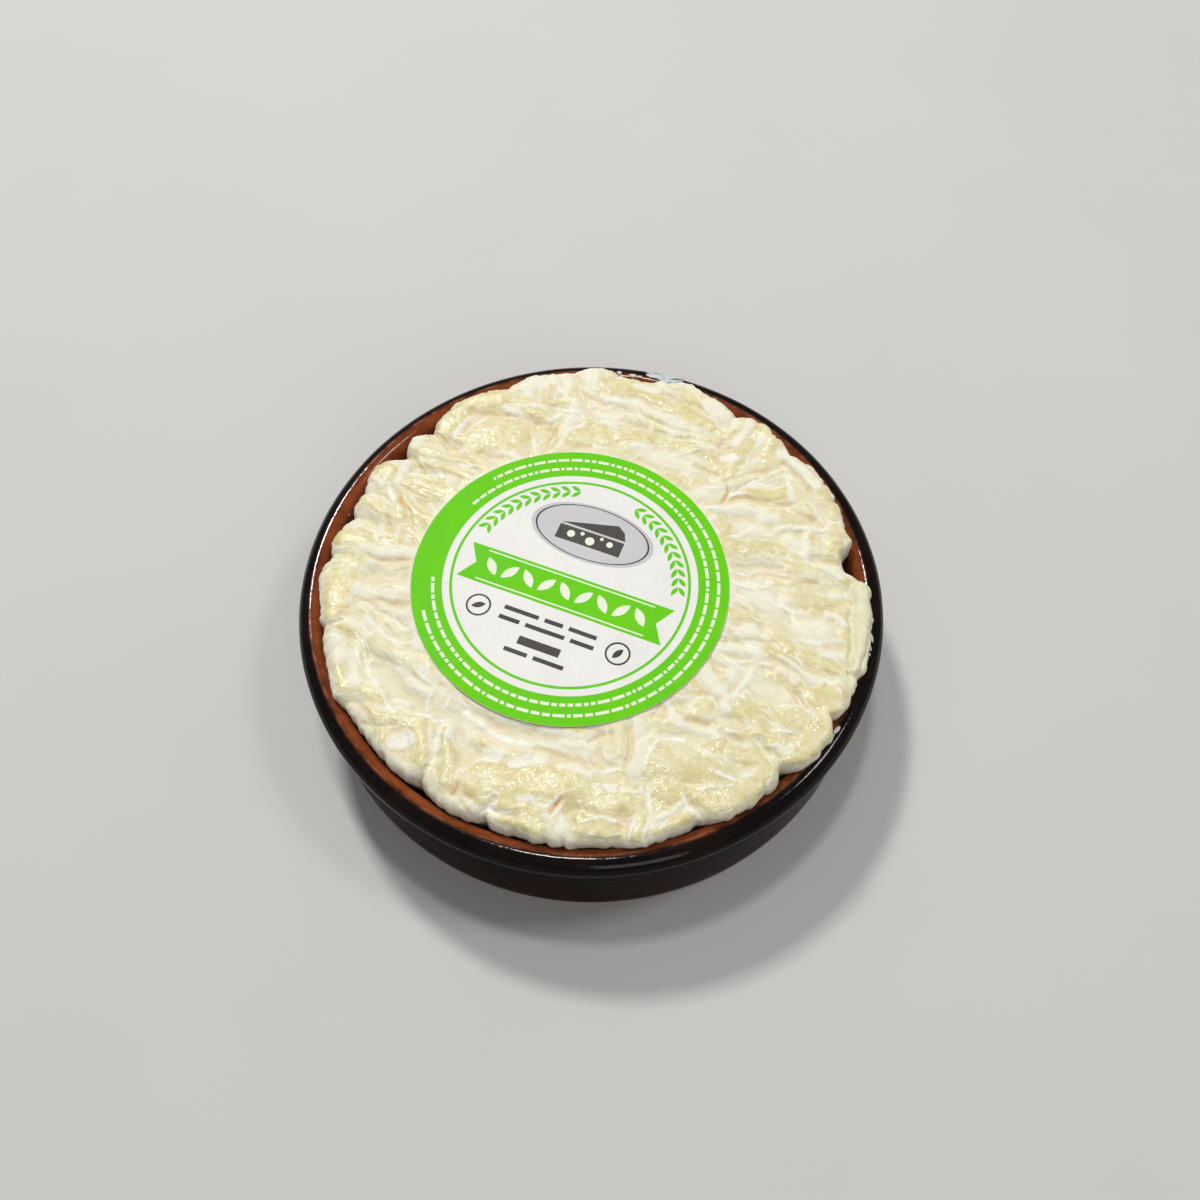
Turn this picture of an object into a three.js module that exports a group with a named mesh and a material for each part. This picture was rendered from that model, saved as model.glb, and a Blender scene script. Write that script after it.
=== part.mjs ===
import * as THREE from 'three';

// Soft-ripened cheese wheel with a folded rind, sitting in its own round glazed dish, with a round
// paper label on top. Millimetres, +Z up, dish axis on Z, foot on Z = 0, front towards -Y.

// ---- driving sizes -------------------------------------------------------------------------
const SEG = 72; // steps round the dish and the cheese

// dish
const RIM_R = 61.2; // outside radius of the rolled lip
const HEIGHT = 26; // table to the top of the lip
const LIP_R = 2.7; // radius of the lip's round bead
const WALL_TOP_R = 58.0; // outside of the wall just under the lip
const WALL_BOT_R = 59.6; // outside of the wall just above the foot edge, a little wider for a steady stand
const FOOT_EDGE = 1.4; // rounding between wall and foot
const FOOT_IN_R = 47; // inner edge of the foot ring
const RECESS = 1.4; // height of the shallow hollow inside the foot ring
const FLOOR = 7.2; // inside floor above the table
const INNER_TOP_R = RIM_R - 2 * LIP_R; // inside radius at the lip
const INNER_BOT_R = 53.6; // inside radius where the floor corner begins
const CORNER = 9; // rounding between inside wall and floor

// cheese
const GAP = 0.5; // clearance between cheese and dish
const LOBE_R = 56.0; // mean radius of the edge where it bulges out over the lip
const LOBE_Z = HEIGHT + 1.25; // height of that widest line
const TOP_Z = 28.95; // mean height of the top
const PRESS_Z = 30.0; // the wrapper has pressed the folds flat at this height
const ROLL = 3.6; // how far in from the edge the top starts to curve down

// label
const LABEL_R = 32.8;
const LABEL_X = -4.4;
const LABEL_Y = -0.9;
const LABEL_Z = 29.75; // underside
const LABEL_T = 0.3;
const LABEL_WAVE = 0.1; // gentle waviness of the paper
const LABEL_GAP = 0.32; // clearance between label and cheese

// notches in the cheese's outline: [angle deg, depth, half width deg]
const NOTCHES = [
  [5.4, 3, 3.8], [14, 0.2, 2], [37.5, 0.8, 3], [53.5, 1.5, 2.4], [76, 0.4, 2.4], [111.5, 0.8, 2],
  [133.4, 3.3, 2.6], [143, 4.2, 2.7], [156.5, 1.7, 2.6], [163, 2.2, 2.6], [174, 1.4, 1.6],
  [191.5, 1, 1.2], [211, 0.4, 1], [234, 1.7, 2.2], [249.3, 1.4, 1.9], [271, 0.4, 1.4], [292, 1.1, 2.2],
  [311.8, 2, 1.6], [327, 0.7, 1.2],
];
// lobes that stand out beyond the mean outline: [angle deg, reach, half width deg]
const LOBES = [
  [-9, 2, 8.5], [-1.2, 1.2, 2.2], [13, 0.7, 3], [24, 1, 5], [31, 0.7, 4], [47, 0.6, 3], [68, 1.5, 5], [89.5, 1.8, 4.5],
  [104, 1.3, 5], [121, 0.4, 6], [149, 0.4, 3], [179, 0.9, 5], [189, 0.8, 2], [206.5, 1.2, 4], [265, 0.6, 6],
  [280, 1.3, 4], [300, 1.3, 7], [308, 0.8, 2.5], [318, 2.2, 5], [324, 1.8, 2.6], [331, 0.8, 3], [338, 1.8, 9],
];

// folds of the rind's top, arcs: [mid x, mid y, heading deg, length, bend deg, half width, height]
const FOLDS = [
  [-28.6, 44.4, 30, 20, -40, 2.8, 0.9], [-21.7, 36.9, 0, 4, 0, 5.2, 0.9], [-32.6, 32.3, -25, 18, -5, 1.9, 0.7],
  [-33.6, 28.6, -18, 17, -25, 1.9, 0.7], [-45.4, 26.1, 0, 1, 0, 3.2, 0.8], [-36.5, 23.6, -8, 11, -10, 2.3, 0.7],
  [-42.4, 15.5, -38, 15, 10, 1.9, 0.7], [-50.4, 9.8, -5, 7, 0, 2.4, 0.9], [-42.9, 6.3, -10, 11, 0, 1.9, 0.6],
  [-51.3, 0.4, 90, 5, 0, 4.0, 0.9], [-42.4, 0.4, -5, 9, 0, 2.1, -0.8], [-15.8, 50.3, 100, 7, 0, 2.0, 0.6],
  [-3.9, 50.8, 95, 8, 0, 2.2, 0.6], [-13.8, 41.4, -60, 4, 0, 1.7, -1.0], [-2.9, 38.4, 3, 14, 0, 2.6, 0.7],
  [11.9, 44.8, -22, 20, 0, 1.7, -0.6], [7.9, 49.3, -12, 16, 0, 1.6, -0.8], [13.8, 36, -13, 20, 0, 2.1, 0.6],
  [20.8, 44.8, -25, 10, 0, 1.8, 0.6], [35.6, 16.2, -20, 27, 10, 1.5, -0.7], [34.6, 26.4, 17, 14, 5, 1.7, 0.6],
  [48.9, 25.6, -52, 14, -25, 1.8, 0.6], [38.5, 38.4, -50, 9, 0, 2.1, 0.6], [39.5, 10.8, -4, 20, 0, 2.1, 0.5],
  [34.1, 2.4, -10, 12, 0, 1.5, -1.0], [48.9, 3.4, -33, 11, 0, 1.5, 0.6], [46, -9.5, 0, 3, 0, 4.4, 0.8],
  [34.6, -10, -15, 13, 0, 1.6, 0.6], [42.5, -19.8, -35, 12, 0, 1.6, 0.7], [36.6, -25, -40, 11, 0, 2.4, -0.8],
  [21.8, -28.7, 0, 0.5, 0, 2.1, 0.9], [39.5, -30.7, 0, 1, 0, 2.9, 0.7], [44.8, -35.2, 55, 18, 20, 3.1, 0.7],
  [21.8, -42.6, -8, 18, 0, 4.3, 0.8], [5.5, -39.1, 92, 8, 0, 2.0, 0.6], [-6.9, -46, -5, 30, 0, 4.0, 0.9],
  [-31.6, -39.6, -82, 11, 15, 1.7, 0.7], [-37.5, -31.8, -10, 13, 0, 1.6, 0.6], [-38.5, -23.6, -40, 14, 0, 1.6, -0.8],
  [-38.5, -17.4, -33, 14, 0, 2.0, 0.8], [-51.3, -17.4, -76, 16, 8, 2.1, 0.7], [-11.8, -33.2, -12, 26, 12, 2.6, -0.9],
];

// ---- helpers -------------------------------------------------------------------------------
const RAD = Math.PI / 180;
const arc = (cx, cz, r, from, to, n) =>
  Array.from({ length: n + 1 }, (_, i) => {
    const a = (from + ((to - from) * i) / n) * RAD;
    return [cx + r * Math.cos(a), cz + r * Math.sin(a)];
  });
const turn = (a, b) => ((((a - b) % 360) + 540) % 360) - 180;
const smooth = (t) => {
  const c = Math.min(1, Math.max(0, t));
  return c * c * (3 - 2 * c);
};

// a closed skin through rings of points, first and last entry a single point on the inside
function skin(first, rings, last) {
  const n = rings[0].length;
  const pos = [...first];
  const idx = [];
  const at = (k, i) => 1 + k * n + (i % n);
  for (const ring of rings) for (const p of ring) pos.push(...p);
  pos.push(...last);
  const end = 1 + rings.length * n;
  for (let i = 0; i < n; i++) {
    idx.push(0, at(0, i + 1), at(0, i));
    for (let k = 0; k + 1 < rings.length; k++) {
      idx.push(at(k, i), at(k, i + 1), at(k + 1, i + 1), at(k, i), at(k + 1, i + 1), at(k + 1, i));
    }
    idx.push(at(rings.length - 1, i), at(rings.length - 1, i + 1), end);
  }
  const g = new THREE.BufferGeometry();
  g.setAttribute('position', new THREE.Float32BufferAttribute(pos, 3));
  g.setIndex(idx);
  g.computeVertexNormals();
  return g;
}

// ---- dish ----------------------------------------------------------------------------------
const lipR = RIM_R - LIP_R;
const lipZ = HEIGHT - LIP_R;
const dishProfile = [
  [0, RECESS],
  [FOOT_IN_R - 1.2, RECESS],
  [FOOT_IN_R, 0],
  ...arc(WALL_BOT_R - FOOT_EDGE, FOOT_EDGE, FOOT_EDGE, -90, 0, 4),
  [WALL_TOP_R, lipZ - LIP_R - 0.5],
  ...arc(lipR, lipZ, LIP_R, -62, 180, 14),
  [INNER_TOP_R - 0.35, lipZ - 4],
  ...arc(INNER_BOT_R - CORNER, FLOOR + CORNER, CORNER, 0, -90, 6),
  [0, FLOOR],
];
const dishGeo = new THREE.LatheGeometry(
  dishProfile.map(([r, z]) => new THREE.Vector2(Math.max(r, 0), z)),
  SEG,
);
dishGeo.rotateX(Math.PI / 2);

// ---- cheese --------------------------------------------------------------------------------
// reach of the cheese's edge at an angle
function outline(deg) {
  let r = LOBE_R;
  for (const [a, d, w] of NOTCHES) r -= d * Math.exp(-((turn(deg, a) / w) ** 2));
  for (const [a, d, w] of LOBES) r += d * Math.exp(-((turn(deg, a) / w) ** 2));
  return r;
}
// distance from a point to a fold's arc
function foldDistance([mx, my, heading, length, bend], x, y, steps = 8) {
  let best = Infinity;
  const half = [];
  for (const s of [-1, 1]) {
    let px = mx;
    let py = my;
    for (let k = 0; k < steps; k++) {
      const a = (heading + (s * bend * (k + 0.5)) / (2 * steps)) * RAD;
      const qx = px + (s * Math.cos(a) * length) / (2 * steps);
      const qy = py + (s * Math.sin(a) * length) / (2 * steps);
      half.push([px, py, qx, qy]);
      px = qx;
      py = qy;
    }
  }
  for (const [ax, ay, bx, by] of half) {
    const ux = bx - ax;
    const uy = by - ay;
    const t = Math.min(1, Math.max(0, ((x - ax) * ux + (y - ay) * uy) / (ux * ux + uy * uy + 1e-9)));
    best = Math.min(best, Math.hypot(x - ax - t * ux, y - ay - t * uy));
  }
  return best;
}
const labelUnder = (x, y) =>
  LABEL_Z + LABEL_WAVE * Math.sin(0.11 * x + 0.05 * y + 0.8) * Math.sin(0.09 * y - 0.04 * x + 0.3);
// height of the top, before it curves down at the edge
function topHeight(x, y) {
  let z = TOP_Z;
  for (const f of FOLDS) z += f[6] * Math.exp(-((foldDistance(f, x, y) / f[5]) ** 2));
  z = Math.min(z, PRESS_Z);
  const under = Math.hypot(x - LABEL_X, y - LABEL_Y) / LABEL_R;
  const pressed = Math.min(z, labelUnder(x, y) - LABEL_GAP);
  return z + (pressed - z) * (1 - smooth((under - 1.04) / 0.06));
}
// inside radius of the dish at a height
function dishInside(z) {
  if (z >= lipZ) return lipR - Math.sqrt(Math.max(0, LIP_R ** 2 - (z - lipZ) ** 2));
  const t = (z - FLOOR - CORNER) / (lipZ - FLOOR - CORNER);
  if (t >= 0) return INNER_BOT_R + (INNER_TOP_R - INNER_BOT_R) * Math.min(t, 0.9);
  const d = FLOOR + CORNER - z;
  return INNER_BOT_R - CORNER + Math.sqrt(Math.max(0, CORNER ** 2 - d * d));
}
const angles = Array.from({ length: SEG }, (_, i) => (i * 360) / SEG);
const ringAt = (radius, height) =>
  angles.map((deg) => {
    const r = radius(deg);
    const x = r * Math.cos(deg * RAD);
    const y = r * Math.sin(deg * RAD);
    return [x, y, height(x, y, deg)];
  });
const sideZ = [FLOOR + GAP + 0.9, FLOOR + GAP + 3.5, FLOOR + CORNER, lipZ - 4, lipZ, lipZ + 1.7];
const cheeseRings = [
  ringAt(() => 22, () => FLOOR + GAP),
  ringAt(() => INNER_BOT_R - CORNER - 1, () => FLOOR + GAP),
  ...sideZ.map((z) =>
    ringAt((deg) => Math.min(dishInside(z - GAP) - GAP - 0.25, outline(deg) - 0.4), () => z),
  ),
  ringAt((deg) => outline(deg) - 0.15, () => HEIGHT + 0.5),
  ringAt(outline, () => LOBE_Z),
  // the rounded shoulder, then the folded top, ring by ring to the middle
  ringAt((deg) => outline(deg) - 0.25 * ROLL, (x, y) => topHeight(x, y) * 0.55 + LOBE_Z * 0.45),
  ringAt((deg) => outline(deg) - 0.6 * ROLL, (x, y) => topHeight(x, y) * 0.88 + LOBE_Z * 0.12),
  ...[0.925, 0.865, 0.8, 0.73, 0.66, 0.58, 0.48, 0.36, 0.22].map((s) =>
    ringAt((deg) => s * (outline(deg) * smooth((s - 0.4) / 0.5) + LOBE_R * (1 - smooth((s - 0.4) / 0.5))), topHeight),
  ),
];
const cheeseGeo = skin([0, 0, FLOOR + GAP], cheeseRings, [0, 0, topHeight(0, 0)]);

// ---- label ---------------------------------------------------------------------------------
const labelRing = (s, dz) =>
  angles.map((deg) => {
    const x = LABEL_X + s * LABEL_R * Math.cos(deg * RAD);
    const y = LABEL_Y + s * LABEL_R * Math.sin(deg * RAD);
    return [x, y, labelUnder(x, y) + dz];
  });
const labelSteps = [0.4, 0.75, 1];
const labelMid = labelUnder(LABEL_X, LABEL_Y);
const labelGeo = skin(
  [LABEL_X, LABEL_Y, labelMid],
  [
    ...labelSteps.map((s) => labelRing(s, 0)),
    ...labelSteps.toReversed().map((s) => labelRing(s, LABEL_T)),
  ],
  [LABEL_X, LABEL_Y, labelMid + LABEL_T],
);

// ---- assembly ------------------------------------------------------------------------------
const piece = (name, geometry, color, roughness) => {
  const mesh = new THREE.Mesh(geometry, new THREE.MeshStandardMaterial({ color, roughness, metalness: 0 }));
  mesh.name = name;
  return mesh;
};
const group = new THREE.Group();
group.name = 'cheese_wheel';
group.add(
  piece('dish', dishGeo, 0x3a1f16, 0.22),
  piece('cheese', cheeseGeo, 0xe8e0bd, 0.5),
  piece('label', labelGeo, 0x83d421, 0.55),
);
export default group;
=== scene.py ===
import math
import bpy
import numpy as np
from mathutils import Matrix, Vector


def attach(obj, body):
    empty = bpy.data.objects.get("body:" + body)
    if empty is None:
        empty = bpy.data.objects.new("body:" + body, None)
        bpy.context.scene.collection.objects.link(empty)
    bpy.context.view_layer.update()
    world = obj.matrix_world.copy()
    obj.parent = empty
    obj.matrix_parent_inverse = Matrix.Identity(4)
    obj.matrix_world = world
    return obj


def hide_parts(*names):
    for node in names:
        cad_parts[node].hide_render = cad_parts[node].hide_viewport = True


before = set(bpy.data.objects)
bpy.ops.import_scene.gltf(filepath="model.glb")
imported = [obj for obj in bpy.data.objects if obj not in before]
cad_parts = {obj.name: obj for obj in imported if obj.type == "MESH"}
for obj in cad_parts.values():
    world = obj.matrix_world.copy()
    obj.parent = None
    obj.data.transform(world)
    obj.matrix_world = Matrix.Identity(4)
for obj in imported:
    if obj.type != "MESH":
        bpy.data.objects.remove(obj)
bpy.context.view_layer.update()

# Soft-ripened cheese wheel with a folded rind in its own glazed dish, round paper label on top.
# All shape code works in millimetres in the row frame; MM turns it into metres.
MM = 0.001

# ---- sizes shared with the solids ---------------------------------------------------------------
RIM_R, HEIGHT, LIP_R = 61.2, 26.0, 2.7
WALL_TOP_R, WALL_BOT_R, FOOT_EDGE = 58.0, 59.6, 1.4
FOOT_IN_R, RECESS, FLOOR = 47.0, 1.4, 7.2
INNER_TOP_R, INNER_BOT_R, CORNER = RIM_R - 2 * LIP_R, 53.6, 9.0
LIP_CR, LIP_CZ = RIM_R - LIP_R, HEIGHT - LIP_R
LOBE_R, LOBE_Z, TOP_Z, PRESS_Z, ROLL = 56.0, HEIGHT + 1.25, 28.95, 29.85, 3.6
LABEL_R, LABEL_X, LABEL_Y, LABEL_Z, LABEL_WAVE, PAPER_T = 32.8, -4.4, -0.9, 29.75, 0.1, 0.16
LABEL_TURN = math.radians(-21.0)

# notches in the cheese's outline: angle deg, depth, half width deg
NOTCHES = [
    (5.4, 3, 4.2), (14, 0.2, 2), (37.5, 0.8, 3), (53.5, 1.5, 2.4), (76, 0.4, 2.4), (111.5, 0.8, 2),
    (133.4, 3.3, 2.6), (143, 4.4, 2.8), (156.5, 1.7, 2.6), (163, 2.3, 2.6), (174, 1.4, 1.6),
    (191.5, 1, 1.2), (211, 0.4, 1), (234, 1.7, 2.2), (249.3, 1.4, 1.9), (271, 0.4, 1.4),
    (292, 1.1, 2.2), (311.8, 2, 1.6), (327, 0.7, 1.2),
]
# lobes standing out beyond the mean outline: angle deg, reach, half width deg
LOBES = [
    (-9, 2, 8.5), (-1.2, 1.3, 2.2), (13, 0.7, 3), (24, 1, 5), (31, 0.7, 4), (47, 0.6, 3), (68, 1.5, 5),
    (89.5, 1.8, 4.5), (104, 1.3, 5), (121, 0.4, 6), (149, 0.4, 3), (179, 0.9, 5), (189, 0.8, 2), (206.5, 1.2, 4),
    (265, 0.6, 6), (280, 1.3, 4), (300, 1.3, 7), (308, 0.8, 2.5), (318, 2.2, 5), (324, 2, 2.6), (331, 0.8, 3), (338, 1.8, 9),
]
# folds of the top, as arcs: mid x, mid y, heading deg, length, bend deg, half width, height, kind
# r ivory roll, w white roll, v white valley, d valley with painted tan shade, c white-lipped crease, l raised white
# line,
# b brown slit, i white island on a roll
FOLDS = [
    # back left
    (-29.3, 44.0, 40, 18, -55, 2.6, 0.9, "r"), (-21.3, 36.4, -4, 5, 0, 4.6, 1.0, "r"), (-13.3, 43.9, 0, 1, 0, 2.0, 0.7, "r"),
    (-31.5, 31.2, -15, 17, -28, 1.6, 0.8, "r"), (-33.0, 28.2, -14, 15, -28, 1.3, 0.7, "r"), (-45.2, 26.6, 0, 1, 0, 3.0, 0.9, "r"),
    (-41.5, 26.3, 70, 5, 0, 1.1, 0.4, "w"), (-35.2, 22.8, -12, 11, -10, 2.2, 0.7, "r"), (-45.2, 17.2, -28, 9, 0, 1.8, 0.8, "r"),
    (-37.5, 16.2, -40, 9, 10, 1.9, 0.6, "r"), (-50.4, 9.2, -8, 5, 0, 2.4, 0.9, "r"), (-42.9, 6.4, -8, 10, 0, 1.5, 0.5, "w"),
    (-51.0, 1.2, 80, 4, 0, 4.0, 0.7, "r"), (-42.4, 0.4, -5, 8, 0, 2.1, -0.7, "v"), (-37.4, 9.6, -40, 6, 0, 1.6, 0.5, "r"),
    (-10.5, 49.5, 95, 3, 0, 1.6, 0.6, "r"), (-14.0, 51.0, 40, 3, 0, 2.1, 0.6, "w"), (-4.9, 48.6, 105, 4, 0, 2.0, 0.7, "r"),
    (-7.2, 52.4, 95, 5, 0, 1.3, 0.5, "w"), (-1.4, 52.6, 88, 5, 0, 2.2, 0.5, "w"), (-17.2, 47.6, -10, 5, 0, 1.6, 0.5, "r"),
    (-12.8, 40.0, -30, 6, 0, 1.5, -0.7, "d"), (-5.5, 41.0, 60, 6, 0, 1.8, 0.5, "w"), (-3.2, 36.6, 3, 10, 0, 2.3, 0.6, "r"),
    (-9.2, 37.0, 70, 5, 0, 1.6, 0.5, "r"),
    # back right
    (4.5, 52.6, -6, 9, 0, 1.7, 0.6, "r"), (8.5, 49.2, -14, 15, -8, 1.5, 0.6, "r"), (11.9, 50.6, -15, 5, 0, 1.2, 0.4, "w"),
    (17.5, 45.3, -30, 13, 0, 1.6, 0.5, "r"), (9.5, 45.4, -22, 16, -8, 1.2, 0.5, "w"), (18.5, 41.3, -25, 9, 0, 1.4, 0.4, "w"),
    (23.0, 43.0, -28, 7, 0, 1.2, 0.6, "r"), (16.6, 38.9, -20, 21, 10, 0.75, 0.55, "r"), (4.4, 42.3, 0, 5, 0, 2.0, 0.3, "w"),
    (8.8, 36.8, -10, 6, 0, 2.1, 0.6, "r"), (18.5, 34.9, -12, 13, 0, 1.5, 0.5, "r"), (16.2, 31.3, -22, 11, 0, 2.4, 0.2, "w"),
    (3.6, 33.0, 0, 7, 0, 1.5, 0.5, "r"), (25.5, 46.6, -35, 6, 0, 1.8, 0.5, "r"), (28.3, 43.6, -42, 8, 0, 1.8, 0.4, "w"),
    (26.3, 30.0, -60, 8, 0, 1.7, 0.5, "r"), (33.2, 38.0, 66, 7, 0, 1.1, 0.6, "w"), (30.8, 39.8, 70, 5, 0, 1.5, 0.5, "r"),
    (37.3, 39.2, -40, 7, 0, 2.1, 0.7, "r"), (32.4, 32.0, 62, 9, 0, 1.7, 0.6, "r"), (38.8, 33.4, 70, 5, 0, 2.0, 0.6, "r"),
    (36.6, 29.0, 28, 9, 15, 1.1, 0.6, "r"), (36.2, 26.2, 20, 12, 0, 0.9, 0.5, "r"), (38.3, 22.0, 10, 9, 0, 2.0, 0.5, "r"),
    (45.4, 28.8, -52, 11, -10, 1.4, 0.6, "w"), (47.6, 24.0, -62, 9, 0, 1.3, 0.6, "r"), (50.7, 20.4, -75, 7, 0, 2.0, 0.7, "r"),
    (42.4, 23.6, -82, 6, 20, 0.9, 0.5, "w"), (45.2, 20.0, -70, 7, 0, 1.0, 0.5, "r"), (32.6, 17.6, -10, 13, -22, 1.2, 0.6, "w"),
    (44.4, 13.0, -4, 11, 0, 0.9, 0.5, "w"), (27.4, 14.6, -60, 4, 0, 2.2, 0.4, "r"), (40.0, 17.6, -28, 9, 0, 1.2, 0.5, "r"),
    (35.0, 12.4, -12, 6, 0, 1.7, 0.25, "w"), (33.4, 8.4, -8, 12, 0, 2.1, 0.6, "r"), (43.3, 8.6, -32, 5, 0, 2.0, 0.4, "w"),
    (51.0, 9.2, 82, 7, 0, 2.2, 0.7, "r"), (48.2, 3.4, -33, 9, 0, 1.0, 0.6, "w"), (42.5, 3.4, -14, 8, 0, 1.7, 0.5, "r"),
    (34.3, 3.9, -8, 10, 0, 1.4, -0.7, "v"), (36.2, 1.6, -4, 9, 0, 0.7, -0.5, "d"), (46.6, 9.6, 88, 4, 0, 1.4, 0.4, "r"),
    # front right
    (34.6, -4.3, -25, 6, 0, 3.3, 0.35, "w"), (44.6, -4.8, -10, 7, 0, 2.4, 0.6, "r"), (45.0, -11.9, 0, 3, 0, 3.2, 0.5, "w"),
    (30.0, -8.3, -20, 6, 0, 1.4, 0.5, "r"), (31.7, -12.0, -10, 2, 0, 1.7, 0.5, "w"), (37.4, -12.4, -50, 7, 0, 1.6, 0.5, "r"),
    (29.3, -16.3, -8, 8, -14, 1.1, 0.7, "w"), (51.3, -11.5, -85, 9, 0, 1.5, 0.6, "r"), (46.4, -18.9, -30, 7, 0, 1.9, 0.6, "r"),
    (41.6, -20.7, -36, 9, 0, 0.9, 0.6, "w"), (38.0, -17.4, -36, 6, 0, 1.4, 0.5, "r"), (35.0, -24.6, -40, 9, 0, 2.5, 0.15, "w"),
    (23.6, -23.6, -75, 5, 0, 1.6, 0.5, "w"), (25.4, -22.0, 60, 2, 0, 1.0, 0.4, "r"), (28.2, -21.6, 70, 2, 0, 1.4, 0.5, "w"),
    (25.8, -27.0, -80, 4, 0, 1.5, 0.4, "w"), (21.8, -29.3, 10, 1, 0, 1.7, 0.8, "r"), (46.4, -26.0, 10, 4, 0, 2.4, 0.7, "r"),
    (39.0, -31.0, 0, 2, 0, 2.5, 0.8, "r"), (43.0, -36.0, 52, 13, 18, 3.0, 0.8, "r"), (31.5, -30.0, -50, 5, 0, 1.8, 0.5, "r"),
    (32.5, -34.6, -8, 7, 0, 1.4, 0.5, "r"), (29.5, -39.2, -12, 9, 0, 1.7, 0.6, "r"), (17.5, -40.6, -12, 11, 0, 3.9, 0.9, "r"),
    (20.4, -33.0, -28, 9, 0, 1.2, 0.5, "w"), (15.0, -31.8, -20, 6, 0, 1.5, 0.5, "r"), (33.0, -42.8, 35, 7, 0, 2.0, 0.7, "r"),
    (27.5, -46.6, 20, 9, 0, 2.4, 0.6, "r"), (5.5, -36.2, 84, 5, 0, 2.1, 0.6, "r"), (9.4, -37.6, 80, 9, 0, 1.5, 0.45, "w"), (7.4, -37.6, 82, 8, 0, 0.4, -0.5, "d"),
    (17.5, -46.6, -12, 8, 0, 2.0, 0.5, "r"), (3.8, -48.0, -5, 6, 0, 2.9, 0.9, "r"), (8.9, -53.6, 72, 4, 0, 1.5, 0.6, "r"),
    (16.0, -52.8, 24, 7, 0, 1.3, 0.5, "r"), (2.0, -54.2, -5, 6, 0, 1.4, 0.5, "r"),
    # front left
    (-52.6, -5.0, -88, 6, 0, 2.8, 0.9, "r"), (-44.5, -3.6, -20, 7, 0, 1.6, 0.4, "w"), (-40.0, -6.2, -14, 8, 0, 0.8, -0.5, "d"),
    (-50.3, -11.0, -20, 4, 0, 1.7, 0.7, "r"), (-46.3, -14.0, -58, 4, 0, 1.5, 0.6, "r"), (-50.8, -16.4, -70, 5, 0, 1.8, 0.5, "w"),
    (-38.4, -17.6, -32, 11, 0, 1.9, 0.9, "r"), (-50.2, -22.0, -72, 7, 0, 1.5, 0.6, "r"), (-46.9, -21.6, -80, 6, 0, 1.5, 0.4, "w"),
    (-38.0, -24.6, -45, 12, 0, 1.7, -0.7, "v"), (-44.5, -26.3, -25, 8, 0, 1.5, 0.6, "r"), (-38.6, -31.6, -20, 9, -15, 1.5, 0.7, "r"),
    (-39.6, -36.0, -78, 6, 0, 1.2, 0.6, "r"), (-32.6, -37.2, -80, 9, 15, 1.6, 0.8, "r"), (-27.0, -39.6, -84, 9, 0, 1.6, 0.8, "r"),
    (-36.2, -36.2, 15, 2, 0, 1.5, 0.0, "i"), (-30.0, -38.5, 84, 5, 0, 0.8, -0.3, "i"), (-26.6, -34.6, 60, 1, 0, 1.0, 0.0, "i"),
    (-36.5, -41.5, -38, 9, 0, 1.8, 0.2, "w"), (-23.0, -37.4, -58, 7, 0, 1.2, -0.5, "v"), (-22.8, -42.2, 72, 6, 0, 0.8, -0.4, "v"),
    (-12.0, -44.7, -4, 19, 0, 3.5, 1.0, "r"), (-15.6, -48.6, -12, 7, 0, 1.9, 0.5, "r"), (-10.6, -51.0, -14, 5, 0, 1.7, 0.35, "r"), (-1.2, -45.4, -4, 7, 0, 2.6, 0.8, "r"), (-18.6, -39.4, 20, 2, 0, 1.5, 0.2, "i"),
    (-12.2, -40.6, 12, 4, -10, 1.3, 0.2, "i"), (-11.6, -48.4, 10, 2, 0, 0.7, 0.0, "i"), (4.6, -46.0, -30, 2, 0, 0.7, 0.0, "i"),
    (-15.0, -33.6, -16, 16, 8, 2.3, -0.8, "v"), (-4.3, -36.4, -10, 8, 0, 2.2, 0.35, "w"), (-17.6, -34.6, -24, 9, 0, 1.2, 0.25, "l"), (-13.0, -36.6, -18, 6, 0, 1.0, 0.25, "l"), (-22.2, -31.6, -34, 7, 0, 0.9, 0.25, "l"), (-7.6, -39.0, -18, 6, 0, 0.45, -0.5, "d"), (-5.6, -35.0, -16, 5, 0, 0.5, 0.3, "l"), (-3.2, -37.4, -12, 5, 20, 0.5, 0.3, "l"), (-21.8, -32.4, -30, 3, 0, 1.0, 0.5, "w"),
    (-6.2, -52.6, -48, 4, 0, 1.9, 0.35, "w"), (12.0, -52.2, 38, 5, -10, 0.9, 0.35, "w"), (1.4, -52.2, -5, 6, 0, 1.4, 0.4, "r"), (-12.6, -53.2, -18, 7, 0, 1.3, 0.4, "r"), (-22.4, -49.8, -26, 7, 0, 1.3, 0.3, "w"), (-17.4, -37.7, -14, 8, 0, 2.0, 0.5, "r"), (-2.6, -42.2, -16, 6, 0, 0.8, 0.3, "w"),
    (-27.5, -31.0, -10, 8, 0, 1.5, -0.4, "v"), (-31.0, -24.0, -50, 6, 0, 1.4, 0.3, "w"),
    # raised white lines
    (-29.8, 39.4, 60, 6, -30, 0.7, 0.4, "l"), (-33.5, 33.9, -6, 8, -20, 0.5, 0.35, "l"), (-34.2, 26.0, -6, 9, -15, 0.5, 0.35, "l"),
    (-43.6, 20.6, -56, 9, 20, 0.8, 0.45, "l"), (-13.2, 34.6, -76, 6, 0, 0.5, 0.3, "l"), (-14.0, 45.9, 4, 8, -30, 0.5, 0.35, "l"),
    (-4.6, 43.3, -24, 10, 0, 0.5, 0.35, "l"), (4.4, 46.9, -2, 7, -30, 0.6, 0.4, "l"), (24.4, 34.0, -9, 10, 0, 0.45, 0.3, "l"),
    (36.8, 36.0, 58, 5, 30, 0.5, 0.3, "l"), (36.0, 24.4, 18, 9, 10, 0.5, 0.35, "l"), (46.6, 26.4, -60, 8, 0, 0.5, 0.35, "l"),
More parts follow.
